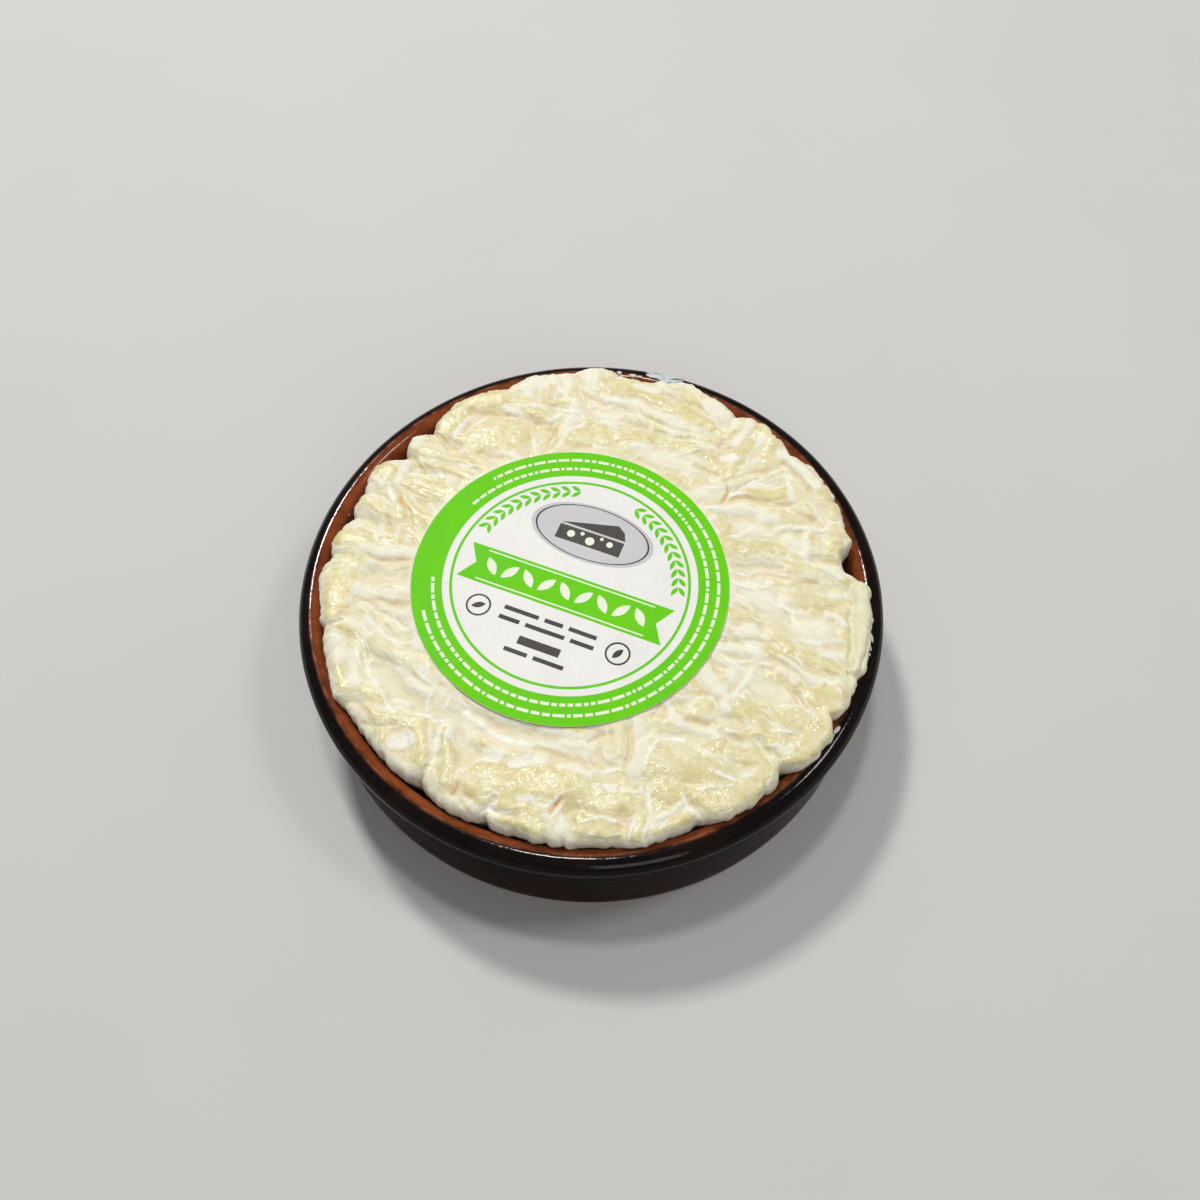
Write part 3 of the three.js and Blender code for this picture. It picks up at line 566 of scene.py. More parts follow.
# ---- dish -----------------------------------------------------------------------------------------------
def arc2(cx, cz, r, a0, a1, n):
    return [(cx + r * math.cos(math.radians(a0 + (a1 - a0) * i / n)), cz + r * math.sin(math.radians(a0 + (a1 - a0) * i / n))) for i in range(n + 1)]


def line2(p, q, n):
    return [(p[0] + (q[0] - p[0]) * i / n, p[1] + (q[1] - p[1]) * i / n) for i in range(1, n + 1)]


profile = [(20, RECESS), (FOOT_IN_R - 2.0, RECESS), (FOOT_IN_R - 1.2, RECESS - 0.15), (FOOT_IN_R - 0.5, 0.5), (FOOT_IN_R - 0.1, 0.12), (FOOT_IN_R + 0.6, 0)]
profile += [(FOOT_IN_R + 4, 0), (WALL_BOT_R - FOOT_EDGE - 0.4, 0)]
profile += arc2(WALL_BOT_R - FOOT_EDGE, FOOT_EDGE, FOOT_EDGE, -90, 0, 9)
wall_end = (WALL_TOP_R, LIP_CZ - LIP_R - 0.9)
profile += line2(profile[-1], wall_end, 14)
# small hollow under the lip, then the lip's bead
bead_start = (LIP_CR + LIP_R * math.cos(math.radians(-58)), LIP_CZ + LIP_R * math.sin(math.radians(-58)))
profile += [(WALL_TOP_R + 0.06, wall_end[1] + 0.45), (WALL_TOP_R + 0.32, wall_end[1] + 0.85)]
profile += arc2(LIP_CR, LIP_CZ, LIP_R, -58, 180, 62)
profile += line2(profile[-1], (INNER_TOP_R - 0.35, LIP_CZ - 4), 4)
profile += arc2(INNER_BOT_R - CORNER, FLOOR + CORNER, CORNER, 0, -90, 10)
profile += [(24, FLOOR)]
D_TH = 288
ddeg = np.arange(D_TH) * 360.0 / D_TH
dc, ds = np.cos(np.radians(ddeg)), np.sin(np.radians(ddeg))
dverts = [np.array([[0, 0, RECESS]])]
for r, z in profile:
    # a thrown dish is never perfectly true: faint throwing waves in the wall, none at the foot
    lift = smooth(np.float64((z - 3) / 8))
    out = 0.05 * np.sin(2 * np.radians(ddeg) + 0.7) * lift + 0.035 * noise2(dc * 7 + z * 0.3, ds * 7 - z * 0.5, 81) * lift
    if r > 55 and 4 < z < 20:
        out = out + 0.045 * math.sin(z * 2.1)
    rr = np.minimum(r + out, RIM_R - 0.01)
    dverts.append(np.stack([rr * dc, rr * ds, np.full(D_TH, z)], 1))
dverts.append(np.array([[0, 0, FLOOR]]))
dv = np.concatenate(dverts)
dish = make_object("earthen_dish", dv, ring_faces(len(profile), D_TH))
dr = np.hypot(dv[:, 0], dv[:, 1])
darc = np.arctan2(dv[:, 1], dv[:, 0])
# clear glaze over red clay inside, dark glaze over the lip and outside, bare clay on the foot ring
inside = np.where(dv[:, 2] > LIP_CZ, np.clip((59.3 - 0.45 * (1 + np.cos(darc - math.radians(330))) - dr) / 1.9, 0, 1), (dr < 57)) * (dv[:, 2] > FLOOR - 1)
bare = smooth((0.75 - dv[:, 2]) / 0.5) * smooth((dr - 44) / 1.5)
add_attr(dish, "inside", inside)
add_attr(dish, "bare", bare)
# lighter line along the crest: thin glaze breaking over the edge, and partly a painted highlight
add_attr(dish, "crest_glaze_and_highlight", np.exp(-(((dr - 58.5 + 0.45 * (1 + np.cos(darc - math.radians(330)))) / 0.3) ** 2)) * (dv[:, 2] > LIP_CZ + 1))
add_attr(dish, "wall", smooth((LIP_CZ + 2.3 - dv[:, 2]) / 1.6) * (dr > 57.5))
add_attr(dish, "low", smooth((13 - dv[:, 2]) / 9) * (dr > 57.5))

# ---- label ------------------------------------------------------------------------------------------------
def label_top(x, y):
    """Upper face of the paper: gentle waves, a few shallow ripples that grow towards the rim, and a slight curl at the
    rim.
    """
    r = np.hypot(x - LABEL_X, y - LABEL_Y) / LABEL_R
    ripple = 0.07 * noise2(x / 7.5, y / 7.5, 91) + 0.035 * noise2(x / 3.4, y / 3.4, 92) * smooth((r - 0.3) / 0.6)
    curl = 0.16 * smooth((r - 0.86) / 0.14) * noise2(np.asarray(x) / 11 + 5, np.asarray(y) / 11, 93)
    return label_under(x, y) + PAPER_T + ripple + curl


def to_world(u, v):
    c, s = math.cos(LABEL_TURN), math.sin(LABEL_TURN)
    return LABEL_X + u * c - v * s, LABEL_Y + u * s + v * c


def slab(name, uv, faces, top_off, bottom_off):
    """A thin closed sheet over a flat patch of the label, following the paper's waves."""
    uv = np.asarray(uv, float)
    x, y = to_world(uv[:, 0], uv[:, 1])
    z = label_top(x, y)
    n = len(uv)
    v = np.concatenate([np.stack([x, y, z + top_off], 1), np.stack([x, y, z + bottom_off], 1)])
    edges = {}
    for f in faces:
        for a, b2 in zip(f, list(f[1:]) + [f[0]]):
            edges[(a, b2)] = True
    walls = [(a, a + n, b2 + n, b2) for (a, b2) in edges if (b2, a) not in edges]
    all_faces = [tuple(f) for f in faces] + [tuple(i + n for i in reversed(f)) for f in faces] + walls
    obj = make_object(name, v, all_faces)
    obj.data.set_sharp_from_angle(angle=math.radians(40))
    return obj


class Patch:
    """Collects flat shapes in the label's own axes, in mm, and turns them into one thin sheet."""

    def __init__(self):
        self.uv, self.faces = [], []

    def grid(self, rows):
        """rows: lists of points, all of one length, left to right, one row above the other."""
        base, n = len(self.uv), len(rows[0])
        for row in rows:
            self.uv += row
        for k in range(len(rows) - 1):
            for i in range(n - 1):
                a = base + k * n + i
                self.faces.append((a, a + 1, a + n + 1, a + n))

    def ring(self, r0, r1, a0=0.0, a1=360.0, step=0.8, cu=0.0, cv_=0.0, wobble=0.0, seed=1):
        full = abs(a1 - a0 - 360) < 1e-6
        na = max(8, int(math.radians(a1 - a0) * r1 / step))
        nr = max(1, int((r1 - r0) / step))
        base = len(self.uv)
        cols = na if full else na + 1
        for k in range(nr + 1):
            for i in range(cols):
                a = math.radians(a0 + (a1 - a0) * i / na)
                r = r0 + (r1 - r0) * k / nr
                self.uv.append((cu + r * math.cos(a), cv_ + r * math.sin(a)))
        for k in range(nr):
            for i in range(na):
                p, q = base + k * cols + i, base + k * cols + (i + 1) % cols
                self.faces.append((p, p + cols, q + cols, q))

    def blob(self, pts, step=0.8):
        """A convex or star-shaped outline, counter-clockwise, filled in rings from its middle."""
        p = []
        for q0, q1 in zip(pts, list(pts[1:]) + [pts[0]]):
            k = max(1, int(math.dist(q0, q1) / step))
            p += [(q0[0] + (q1[0] - q0[0]) * i / k, q0[1] + (q1[1] - q0[1]) * i / k) for i in range(k)]
        p = np.array(p)
        mid = p.mean(0)
        rings_ = max(2, int(np.hypot(*(p - mid).T).max() / step))
        base, n = len(self.uv), len(p)
        self.uv.append(tuple(mid))
        for k in range(1, rings_ + 1):
            self.uv += [tuple(mid + (q - mid) * k / rings_) for q in p]
        for i in range(n):
            j = (i + 1) % n
            self.faces.append((base, base + 1 + i, base + 1 + j))
            for k in range(rings_ - 1):
                a = base + 1 + k * n
                self.faces.append((a + i, a + n + i, a + n + j, a + j))

    def leaf(self, cu, cv_, heading, length, width):
        c, s = math.cos(math.radians(heading)), math.sin(math.radians(heading))
        pts = []
        for side in (-1, 1):
            for k in range(9):
                t = k / 8 if side < 0 else 1 - k / 8
                if side > 0 and k in (0, 8):
                    continue
                w = side * width / 2 * math.sin(math.pi * t) ** 0.8
                a = (t - 0.5) * length
                pts.append((cu + a * c - w * s, cv_ + a * s + w * c))
        self.blob(pts)

    def bar(self, cu, cv_, length, height, step=0.8):
        n = max(2, int(length / step))
        h = height / 2
        self.grid([[(cu - length / 2 + length * i / n, cv_ + dy) for i in range(n + 1)] for dy in (-h, 0, h)])

    def disc(self, cu, cv_, r, n=28):
        self.blob([(cu + r * math.cos(2 * math.pi * i / n), cv_ + r * math.sin(2 * math.pi * i / n)) for i in range(n)])

    def make(self, name, top_off, bottom_off):
        return slab(name, self.uv, self.faces, top_off, bottom_off)


GREEN_IN = 26.4
paper = Patch()
paper.ring(0.6, LABEL_R, step=0.75)
# close the middle with a small fan
paper.blob([paper.uv[i] for i in range(max(8, int(2 * math.pi * LABEL_R / 0.75)))])
label = paper.make("paper_label", 0.0, -PAPER_T)

green = Patch()
green.ring(GREEN_IN, LABEL_R - 0.02, step=0.75)
green.ring(24.3, 24.9, step=0.7)
# ribbon across the white field, with forked ends
RIB_V, RIB_H, RIB_L = -3.0, 8.6, 45.0
rows = []
for k in range(13):
    t = k / 12
    v_ = RIB_V - RIB_H / 2 + RIB_H * t
    inset = 2.6 * (1 - abs(2 * t - 1))
    left, right = -RIB_L / 2 + inset, RIB_L / 2 - inset
    rows.append([(left + (right - left) * i / 60, v_) for i in range(61)])
green.grid(rows)
# two laurel sprigs round the upper field
for side in (-1, 1):
    for k in range(11):
        a = 90 + side * (19 + 5.6 * k)
        for out in (-1, 1):
            r_leaf = 22.3 + out * 0.75
            green.leaf(r_leaf * math.cos(math.radians(a)), r_leaf * math.sin(math.radians(a)), a - side * (90 + out * 34), 2.5, 0.95)
green_ink = green.make("label_print_green", 0.012, -0.05)

white = Patch()
# row of leaves on the ribbon
for i in range(-4, 5):
    white.leaf(i * 4.1, RIB_V + 0.2, 52 if i % 2 else 128, 4.6, 1.9)
white.bar(0, RIB_V + RIB_H / 2 - 0.75, 37, 0.32)
white.bar(0, RIB_V - RIB_H / 2 + 0.75, 37, 0.32)
# fine dashes round the green border, two rows
rnd = np.random.RandomState(5)
for r_row, a_from, a_to in ((28.3, 200, 520), (30.6, 215, 505)):
    a = a_from
    while a < a_to:
        w = rnd.uniform(1.2, 5.2)
        white.ring(r_row - 0.33, r_row + 0.33, a, min(a + w, a_to), step=0.66)
        a += w + 0.9

grey = Patch()
PLQ_V, PLQ_W, PLQ_H = 12.2, 13.6, 7.0
grey.blob([(PLQ_W * math.cos(2 * math.pi * i / 72), PLQ_V + PLQ_H * math.sin(2 * math.pi * i / 72)) for i in range(72)])
grey_ink = grey.make("label_print_grey", 0.016, -0.045)

dark = Patch()
# oval line inside the plaque, and a wedge with round eyes
dark.grid([[(k * PLQ_W * math.cos(2 * math.pi * i / 96), PLQ_V + k * PLQ_H * math.sin(2 * math.pi * i / 96)) for i in range(97)] for k in (0.93, 0.9)])
dark.blob([(-7.2, PLQ_V - 3.4), (7.2, PLQ_V - 3.4), (7.2, PLQ_V + 0.2), (0, PLQ_V + 0.2), (-7.2, PLQ_V + 0.2)])
dark.blob([(-7.2, PLQ_V + 0.7), (7.2, PLQ_V + 0.7), (6.4, PLQ_V + 2.6), (4.6, PLQ_V + 3.9), (-1.0, PLQ_V + 2.4)])
for u_, v_, r_ in ((-4.2, -1.5, 0.85), (0.2, -1.9, 1.0), (4.4, -1.2, 0.7), (2.4, -0.5, 0.4), (-1.9, -0.7, 0.45)):
    white.disc(u_, PLQ_V + v_, r_, 20)
white_ink = white.make("label_print_white", 0.03, -0.03)
# short lines of plain bars in the lower field
for v_, lengths in ((-10.6, (7.5, 4.0, 6.0)), (-13.0, (4.5, 8.5, 5.0)), (-16.6, (9.0,)), (-19.4, (5.0, 6.5))):
    total = sum(lengths) + 1.3 * (len(lengths) - 1)
    u_ = -total / 2
    for ln in lengths:
        dark.bar(u_ + ln / 2, v_, ln, 0.95 if v_ != -16.6 else 1.9)
        u_ += ln + 1.3
for s in (-1, 1):
    dark.ring(2.2, 2.6, cu=s * 15.2, cv_=-12.2, step=0.5)
    dark.leaf(s * 15.2, -12.2, 60 * s + 90 * (s < 0), 3.0, 1.3)
dark_ink = dark.make("label_print_dark", 0.022, -0.04)

# ---- small bits on the rim ------------------------------------------------------------------------------------
def lip_height(r):
    """Height of the dish's surface at a radius on the lip's upper half."""
    return LIP_CZ + math.sqrt(max(LIP_R**2 - (r - LIP_CR) ** 2, 0.0))


def crumb(cx, cy, size, flat, seed, turn=0.0, stretch=1.0, z=None):
    """A small lump of rind, uneven all round, its underside sunk a little into what carries it."""
    n, m = 20, 9
    verts_, rr = [], np.random.RandomState(seed).uniform(0, 50)
    zc = lip_height(math.hypot(cx, cy)) if z is None else z
    c, s = math.cos(turn), math.sin(turn)
    for k in range(m):
        ph = -math.pi / 2 + math.pi * (k + 0.5) / m
        for i in range(n):
            a = 2 * math.pi * i / n
            wob = 1 + 0.28 * float(noise2(np.float64(rr + 1.7 * math.cos(a)), np.float64(1.7 * math.sin(a) + k * 0.35), 101))
            x_, y_ = size * stretch * wob * math.cos(ph) * math.cos(a), size * wob * math.cos(ph) * math.sin(a)
            verts_.append((cx + x_ * c - y_ * s, cy + x_ * s + y_ * c, zc + flat * size * math.sin(ph)))
    lowest = [(cx, cy, zc - flat * size)]
    highest = [(cx, cy, zc + flat * size)]
    return np.array(lowest + verts_ + highest), ring_faces(m, n)


def join(parts):
    v, f, off = [], [], 0
    for pv, pf in parts:
        v.append(pv)
        f += [np.asarray(q) + off for q in pf]
        off += len(pv)
    return np.concatenate(v), f


bits = [
    crumb(5.7, 58.0, 0.55, 0.6, 1, 0.1, 1.1), crumb(8.8, 57.3, 0.5, 0.5, 2, -0.1, 1.9), crumb(10.4, 57.0, 0.32, 0.5, 7, -0.1, 2.0),
    crumb(57.35, -11.2, 0.42, 0.16, 3, 1.75, 2.8), crumb(56.75, -13.4, 0.4, 0.16, 11, 1.8, 2.6), crumb(56.6, -15.2, 0.26, 0.3, 4, 1.8, 1.5),
    crumb(48.5, -32.0, 0.4, 0.3, 5, 0.9, 2.6), crumb(47.6, -33.2, 0.3, 0.3, 8, 0.9, 1.8),
    crumb(-53.4, 18.6, 0.34, 0.4, 9, 1.9, 1.8, 24.6), crumb(-52.5, 20.6, 0.3, 0.4, 10, 1.9, 1.6, 24.4),
]
bv, bf = join(bits)
rind_bits = make_object("rind_bits", bv, bf)


# a torn shred of dried rind lying over the lip at the back: thin frayed strips
def strip(x0, y0, x1, y1, w0, w1, bow, lift, seed, n=28, m_=5):
    """A thin closed strip over the lip, its edges ragged, its far end lifted off."""
    top_ = []
    dx, dy = x1 - x0, y1 - y0
    ln = math.hypot(dx, dy)
    for k in range(n + 1):
        t = k / n
        for j in range(m_):
            side = 2 * j / (m_ - 1) - 1
            w = (w0 + (w1 - w0) * t) * (1 + 0.55 * float(noise2(np.float64(t * ln / 0.9), np.float64(side * 2 + seed), 111)))
            w *= math.sin(math.pi * min(1, 0.12 + 4 * t) / 2) * (1 - max(0, (t - 0.85) / 0.15) ** 2 * 0.85)
            off = bow * math.sin(math.pi * t) + side * w / 2
            x, y = x0 + dx * t - dy / ln * off, y0 + dy * t + dx / ln * off
            r = math.hypot(x, y)
            z = lip_height(min(max(r, LIP_CR), 61.0)) + 0.45 * max(LIP_CR - r, 0) + 0.12 + 0.12 * float(noise2(np.float64(t * ln / 1.4), np.float64(side + seed), 113)) + lift * t**2.5
            top_.append((x, y, z))
    top_ = np.array(top_)
    flat_faces = [(k * m_ + j, (k + 1) * m_ + j, (k + 1) * m_ + j + 1, k * m_ + j + 1) for k in range(n) for j in range(m_ - 1)]
    n_s = len(top_)
    rim = {(a, b2) for f in flat_faces for a, b2 in zip(f, f[1:] + f[:1])}
    faces_ = flat_faces + [tuple(i + n_s for i in reversed(f)) for f in flat_faces] + [(a, a + n_s, b2 + n_s, b2) for (a, b2) in rim if (b2, a) not in rim]
    return np.concatenate([top_, top_ - [0, 0, 0.07]]), faces_


sv, sf = join([
    strip(11.9, 57.6, 20.6, 54.9, 1.9, 1.6, 0.4, 0.1, 1), strip(14.6, 56.0, 23.2, 53.2, 1.5, 0.7, 0.3, 0.1, 2),
    strip(15.2, 57.6, 21.9, 56.6, 1.2, 0.5, -0.6, 2.1, 3), strip(16.8, 57.0, 22.4, 55.6, 0.9, 0.45, -0.3, 1.4, 4),
    strip(12.0, 58.3, 15.2, 58.5, 0.7, 0.3, 0.2, 0.4, 5),
])
shred = make_object("rind_shred", sv, sf)


# ---- materials ---------------------------------------------------------------------------------------------------
class Mat:
    def __init__(self, name):
        self.m = bpy.data.materials.new(name)
        self.m.use_nodes = True
        self.t = self.m.node_tree
        self.t.nodes.clear()
        self.out = self.t.nodes.new("ShaderNodeOutputMaterial")
        self.b = self.t.nodes.new("ShaderNodeBsdfPrincipled")
        self.t.links.new(self.b.outputs["BSDF"], self.out.inputs["Surface"])
        self.co = self.t.nodes.new("ShaderNodeTexCoord").outputs["Object"]

    def put(self, socket, value):
        if isinstance(value, bpy.types.NodeSocket):
            self.t.links.new(value, socket)
        elif isinstance(value, (tuple, list)) and len(value) == 3 and socket.type == "RGBA":
            socket.default_value = (*value, 1.0)
        else:
            socket.default_value = value

    def set(self, **kw):
        for k, v in kw.items():
            self.put(self.b.inputs[k.replace("_", " ")], v)

    def attr(self, name):
        n = self.t.nodes.new("ShaderNodeAttribute")
        n.attribute_name = name
        return n.outputs["Fac"]

    def noise(self, size_mm, detail=2.0, rough=0.5, distort=0.0, stretch=None):
        n = self.t.nodes.new("ShaderNodeTexNoise")
        co = self.co
        if stretch:
            mp = self.t.nodes.new("ShaderNodeMapping")
            mp.inputs["Scale"].default_value = stretch
            self.t.links.new(co, mp.inputs["Vector"])
            co = mp.outputs["Vector"]
        self.t.links.new(co, n.inputs["Vector"])
        n.inputs["Scale"].default_value = 1000.0 / size_mm
        n.inputs["Detail"].default_value = detail
        n.inputs["Roughness"].default_value = rough
        n.inputs["Distortion"].default_value = distort
        return n.outputs["Fac"]

    def noise_1d(self, w, detail=2.0):
        n = self.t.nodes.new("ShaderNodeTexNoise")
        n.noise_dimensions = "1D"
        self.t.links.new(w, n.inputs["W"])
        n.inputs["Scale"].default_value = 1.0
        n.inputs["Detail"].default_value = detail
        return n.outputs["Fac"]

    def math(self, op, a, b=0.0, c=0.0, clamp=False):
        n = self.t.nodes.new("ShaderNodeMath")
        n.operation = op
        n.use_clamp = clamp
        for i, v in enumerate((a, b, c)):
            self.put(n.inputs[i], v)
        return n.outputs[0]

    def ramp(self, fac, lo, hi, a=0.0, b=1.0):
        n = self.t.nodes.new("ShaderNodeMapRange")
        n.interpolation_type = "SMOOTHSTEP"
        for i, v in enumerate((fac, lo, hi, a, b)):
            self.put(n.inputs[i], v)
        return n.outputs[0]

    def mix(self, fac, a, b):
        n = self.t.nodes.new("ShaderNodeMix")
        n.data_type = "RGBA"
        self.put(n.inputs[0], fac)
        self.put(n.inputs[6], a)
        self.put(n.inputs[7], b)
        return n.outputs[2]

    def bump(self, height, distance_mm, strength=1.0, normal=None):
        n = self.t.nodes.new("ShaderNodeBump")
        n.inputs["Strength"].default_value = strength
        n.inputs["Distance"].default_value = distance_mm * MM
        self.put(n.inputs["Height"], height)
        if normal is not None:
            self.put(n.inputs["Normal"], normal)
        return n.outputs["Normal"]


def lin(r, g, b):
    """sRGB 0-255 to linear."""
    return tuple(((c / 255 + 0.055) / 1.055) ** 2.4 if c > 10 else c / 255 / 12.92 for c in (r, g, b))


# cheese
m = Mat("rind")
ragged_n = m.noise(1.5, 5, 0.68)
frayed_iv = m.math("ADD", m.attr("ivory"), m.math("MULTIPLY", m.attr("streak"), 0.03))
iv = m.ramp(m.math("ADD", frayed_iv, m.math("MULTIPLY", m.math("SUBTRACT", ragged_n, 0.5), 0.35)), 0.17, 0.83)
cloud = m.noise(5, 3, 0.55)
ivory_c = m.mix(m.ramp(m.math("ADD", m.math("MULTIPLY", cloud, 0.5), m.math("MULTIPLY", m.noise(1.7, 3, 0.6), 0.5)), 0.34, 0.66), lin(216, 202, 141), lin(233, 225, 181))
# white bloom: mottled at random, and painted lighter on raised spots and darker in hollows as painted light and shade
white_c = m.mix(m.ramp(m.math("ADD", m.math("MULTIPLY", m.noise(2.2, 4, 0.65), 0.7), m.math("MULTIPLY", m.attr("crown_painted_light"), 0.6)), 0.3, 0.8), lin(234, 227, 198), lin(245, 241, 221))
col = m.mix(iv, white_c, ivory_c)
# painted shade: tan in the valleys and hollows
col = m.mix(m.math("MULTIPLY", m.attr("painted_shade"), 0.65), col, lin(230, 209, 160))
line = m.ramp(m.math("ADD", m.attr("white_line"), m.math("MULTIPLY", m.math("SUBTRACT", m.noise(0.7, 3, 0.65), 0.5), 0.5)), 0.2, 0.82)
col = m.mix(m.math("MULTIPLY", line, 0.92), col, lin(255, 254, 245))
# painted sparkle: pale specks on the ivory where the wet film would glint
painted_sparkle = m.ramp(m.noise(0.42, 2, 0.6), 0.64, 0.74)
col = m.mix(m.math("MULTIPLY", m.math("MULTIPLY", painted_sparkle, iv), 0.6), col, lin(247, 243, 222))
col = m.mix(m.math("MULTIPLY", m.attr("bulge"), m.ramp(m.noise(3.2, 3, 0.55), 0.3, 0.7, 0.55, 0.85)), col, lin(235, 233, 204))
col = m.mix(m.ramp(m.attr("slit"), 0.2, 0.8, 0.0, 0.75), col, lin(216, 160, 92))
glint = m.math("MULTIPLY", m.ramp(m.noise(0.75, 1, 0.4), 0.52, 0.68), m.ramp(m.noise(5.0, 2, 0.5), 0.48, 0.6))
col = m.mix(m.math("MULTIPLY", m.math("MULTIPLY", glint, iv), 0.5), col, lin(253, 249, 222))
frost = m.ramp(m.noise(0.34, 2, 0.6), 0.5, 0.72)
col = m.mix(m.math("MULTIPLY", frost, 0.34), col, lin(254, 251, 234))
col = m.mix(m.math("MULTIPLY", m.ramp(m.noise(0.42, 2, 0.65), 0.56, 0.74), 0.3), col, lin(214, 198, 146))
wet = m.math("MULTIPLY", m.math("MULTIPLY", iv, m.math("SUBTRACT", 1.0, line)), m.ramp(m.attr("bulge"), 0.0, 1.0, 1.0, 0.3))
beads = m.math("MULTIPLY", m.ramp(m.noise(0.75, 1, 0.4), 0.48, 0.85), m.ramp(m.noise(5.0, 2, 0.5), 0.5, 0.62))
cluster = m.ramp(m.noise(5.0, 2, 0.5), 0.5, 0.64, 0.0, 0.08)
film = m.math("ADD", m.math("MULTIPLY", m.attr("streak"), cluster), m.math("ADD", m.math("MULTIPLY", beads, 0.5), m.math("MULTIPLY", m.math("MULTIPLY", m.noise(1.6, 2, 0.45), 0.3), m.ramp(m.noise(6, 2, 0.5), 0.44, 0.62, 0.3, 1.0))))
stria = m.noise_1d(m.math("ADD", m.math("MULTIPLY", m.attr("near"), 2.2), m.math("MULTIPLY", m.noise(2.4, 2, 0.5), 2.6)))
fibre = m.math("MULTIPLY", m.ramp(stria, 0.5, 0.68), m.ramp(m.noise(3.8, 2, 0.5), 0.42, 0.6))
col = m.mix(m.math("MULTIPLY", fibre, 0.38), col, lin(252, 249, 232))
stria = m.math("MULTIPLY", stria, m.ramp(m.noise(3.8, 2, 0.5), 0.4, 0.6))
fuzz = m.math("ADD", m.math("MULTIPLY", m.noise(0.45, 4, 0.7), 0.6), m.math("MULTIPLY", m.noise(1.2, 3, 0.6), 0.5))
vein_n = m.math("ABSOLUTE", m.math("SUBTRACT", m.noise(1.9, 2, 0.5, 1.2), 0.5))
vein = m.math("MULTIPLY", m.ramp(vein_n, 0.0, 0.07, 1.0, 0.0), m.math("MULTIPLY", m.math("SUBTRACT", 1.0, iv), m.ramp(m.noise(4.2, 2, 0.5), 0.42, 0.6)))
col = m.mix(m.math("MULTIPLY", vein, 0.3), col, lin(234, 222, 184))
height = m.math("ADD", m.math("MULTIPLY", stria, 0.5), m.math("MULTIPLY", film, wet))
height = m.math("ADD", height, m.math("ADD", m.math("MULTIPLY", iv, -0.16), m.math("MULTIPLY", line, 0.12)))
height = m.math("ADD", height, m.math("MULTIPLY", fuzz, m.math("SUBTRACT", 1.0, m.math("MULTIPLY", wet, 0.85))))
m.set(Base_Color=col, Roughness=m.math("SUBTRACT", m.ramp(wet, 0.0, 1.0, 0.6, 0.36), m.math("MULTIPLY", m.math("MULTIPLY", m.ramp(m.noise(5.0, 2, 0.5), 0.48, 0.6), wet), 0.2)), Normal=m.bump(height, 0.24))
m.set(Subsurface_Weight=0.32, Subsurface_Radius=(1.0, 0.8, 0.48), Subsurface_Scale=0.0014, Specular_IOR_Level=0.26)
ripple = m.math("ADD", m.noise(1.2, 2, 0.5), m.math("MULTIPLY", m.attr("streak"), 0.06))
m.set(Coat_Weight=m.math("MULTIPLY", m.math("MULTIPLY", wet, m.ramp(m.noise(4.0, 2, 0.5), 0.4, 0.6, 0.2, 1.0)), m.ramp(m.attr("bulge"), 0.0, 1.0, 0.65, 0.0)), Coat_Roughness=0.1, Coat_Normal=m.bump(ripple, 0.36))
cheese.data.materials.append(m.m)

# bits of rind
m2 = Mat("rind_crumb")
c2n = m2.noise(0.8, 3, 0.6)
m2.set(Base_Color=m2.mix(m2.ramp(c2n, 0.3, 0.7), lin(188, 187, 192), lin(226, 225, 225)), Roughness=0.5, Normal=m2.bump(m2.noise(0.4, 3), 0.1), Subsurface_Weight=0.2, Subsurface_Scale=0.001)
rind_bits.data.materials.append(m2.m)
shred.data.materials.append(m2.m)

# dish
m = Mat("glaze")
spots = m.noise(2.2, 4, 0.65)
cloud = m.noise(14, 3, 0.5)
edge = m.math("ADD", m.attr("inside"), m.math("MULTIPLY", m.math("SUBTRACT", m.noise(2.2, 4, 0.6), 0.5), 0.34))
inside_f = m.ramp(edge, 0.05, 0.95)
clay = m.mix(m.ramp(m.math("ADD", m.math("MULTIPLY", spots, 0.5), m.math("MULTIPLY", cloud, 0.5)), 0.35, 0.65), lin(112, 53, 24), lin(142, 72, 36))
dark_c = m.mix(m.ramp(m.math("ADD", m.math("MULTIPLY", spots, 0.4), m.math("MULTIPLY", cloud, 0.6)), 0.4, 0.68), lin(11, 7, 6), lin(27, 15, 12))
dark_c = m.mix(m.math("MULTIPLY", m.attr("low"), 0.6), dark_c, lin(48, 22, 18))
gcol = m.mix(inside_f, dark_c, clay)
# lighter line on the crest: thin glaze over the edge, partly a painted highlight
gcol = m.mix(m.math("MULTIPLY", m.attr("crest_glaze_and_highlight"), m.ramp(m.noise(4.0, 3, 0.6), 0.4, 0.64, 0.0, 0.42)), gcol, lin(186, 112, 80))
bare_f = m.ramp(m.math("ADD", m.attr("bare"), m.math("MULTIPLY", m.math("SUBTRACT", m.noise(1.2, 4, 0.7), 0.5), 0.6)), 0.4, 0.6)
gcol = m.mix(bare_f, gcol, m.mix(m.ramp(m.noise(0.9, 4, 0.7), 0.3, 0.7), lin(168, 92, 58), lin(190, 116, 78)))
gh = m.math("ADD", m.math("MULTIPLY", m.noise(2.6, 2, 0.5), 1.0), m.math("MULTIPLY", m.noise(0.8, 2, 0.5), 0.16))
m.set(Base_Color=gcol, Roughness=m.ramp(m.math("ADD", bare_f, m.math("MULTIPLY", m.noise(1.2, 3, 0.6), 0.12)), 0.0, 1.0, 0.09, 0.85), Normal=m.bump(gh, 0.05))
m.set(IOR=1.5, Specular_IOR_Level=m.ramp(m.attr("wall"), 0.0, 1.0, 0.22, 0.05))
dish.data.materials.append(m.m)

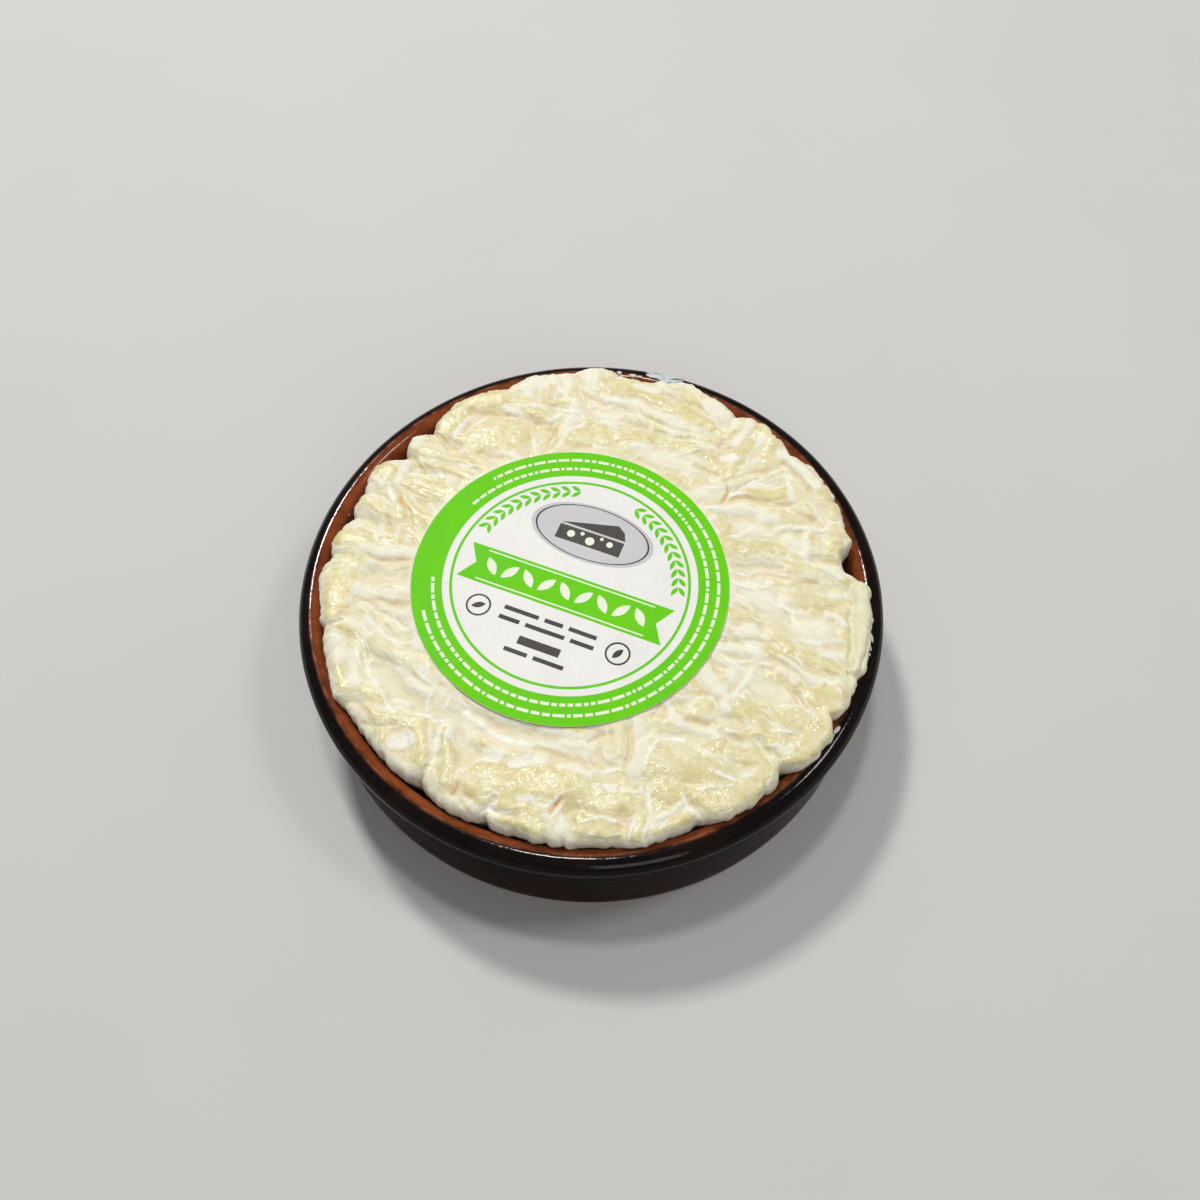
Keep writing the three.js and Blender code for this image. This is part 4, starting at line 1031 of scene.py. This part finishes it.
# paper and print
def printed(name, a, b, rough):
    p = Mat(name)
    grain = p.noise(0.45, 3, 0.65)
    blotch = p.noise(9, 3, 0.55)
    f = p.ramp(p.math("ADD", p.math("MULTIPLY", grain, 0.45), p.math("MULTIPLY", blotch, 0.55)), 0.35, 0.65)
    p.set(Specular_IOR_Level=0.14, Base_Color=p.mix(f, a, b), Roughness=p.ramp(blotch, 0.3, 0.7, rough - 0.06, rough + 0.06), Normal=p.bump(p.math("ADD", p.math("MULTIPLY", grain, 0.3), p.noise(4.5, 2, 0.5)), 0.05))
    return p.m


label.data.materials.append(printed("paper_white", lin(233, 231, 226), lin(241, 240, 236), 0.48))
green_ink.data.materials.append(printed("print_green", lin(96, 201, 4), lin(110, 209, 9), 0.55))
white_ink.data.materials.append(printed("print_white", lin(228, 238, 206), lin(240, 245, 226), 0.45))
grey_ink.data.materials.append(printed("print_grey", lin(196, 195, 196), lin(208, 207, 208), 0.5))
dark_ink.data.materials.append(printed("print_dark", lin(60, 57, 55), lin(84, 80, 77), 0.5))

for piece, slot_name in ((cheese, "rind"), (rind_bits, "rind"), (shred, "rind"), (dish, "glaze"), (label, "paper"), (green_ink, "paper"), (white_ink, "paper"), (grey_ink, "paper"), (dark_ink, "paper")):
    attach(piece, "root")
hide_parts("cheese")
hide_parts("dish")
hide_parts("label")

# ---- floor, light, camera --------------------------------------------------------------------------------------------
bpy.ops.mesh.primitive_grid_add(x_subdivisions=4, y_subdivisions=4, size=4.0, location=(0, 0, 0))
floor = bpy.context.object
floor.name = "floor"
fm = Mat("floor_pale")
fm.set(Base_Color=fm.mix(fm.noise(60, 3), lin(203, 202, 200), lin(209, 208, 206)), Roughness=0.8)
floor.data.materials.append(fm.m)


def area(name, loc, target, size, power, colour=(1, 1, 1)):
    d = bpy.data.lights.new(name, "AREA")
    d.shape = "RECTANGLE"
    d.size, d.size_y = size
    d.energy = power
    d.color = colour
    o = bpy.data.objects.new(name, d)
    o.location = loc
    o.rotation_euler = (Vector(target) - Vector(loc)).to_track_quat("-Z", "Y").to_euler()
    bpy.context.scene.collection.objects.link(o)


area("key", (-0.33, 0.66, 1.03), (0, 0, 0.02), (0.14, 0.14), 8.05, (1.0, 0.985, 0.96))
area("top", (-0.05, 0.27, 1.22), (0, 0, 0.02), (0.11, 0.11), 3.0)
area("side", (0.62, 0.12, 1.08), (0, 0, 0.02), (0.2, 0.2), 2.3)
area("fill", (0.25, -0.95, 0.75), (0, 0, 0.02), (0.5, 0.5), 1.7)
world = bpy.data.worlds.new("studio")
bpy.context.scene.world = world
world.use_nodes = True
bg = world.node_tree.nodes.get("Background") or world.node_tree.nodes.new("ShaderNodeBackground")
bg.inputs["Color"].default_value = (1, 1, 1, 1)
bg.inputs["Strength"].default_value = 0.2

bpy.context.scene.view_settings.view_transform = "Standard"
bpy.context.scene.view_settings.look = "None"
bpy.context.scene.view_settings.exposure = 0.0

el, dist, cam_roll = math.radians(60.05), 252.7, math.radians(0.68)
target = Vector((1.78, -1.66, LIP_CZ))
back = Vector((0, -math.cos(el), math.sin(el)))
right, upv = Vector((1, 0, 0)), back.cross(Vector((1, 0, 0)))
r2 = right * math.cos(cam_roll) + upv * math.sin(cam_roll)
u2 = -right * math.sin(cam_roll) + upv * math.cos(cam_roll)
cam_data = bpy.data.cameras.new("camera")
cam_data.sensor_width = 36.0
cam_data.sensor_fit = "HORIZONTAL"
cam_data.lens = 36.0
cam_data.clip_start = 0.005
cam = bpy.data.objects.new("camera", cam_data)
loc = (target + back * dist) * MM
cam.matrix_world = Matrix(((r2.x, u2.x, back.x, loc.x), (r2.y, u2.y, back.y, loc.y), (r2.z, u2.z, back.z, loc.z), (0, 0, 0, 1)))
bpy.context.scene.collection.objects.link(cam)
bpy.context.scene.camera = cam

bpy.context.view_layer.update()
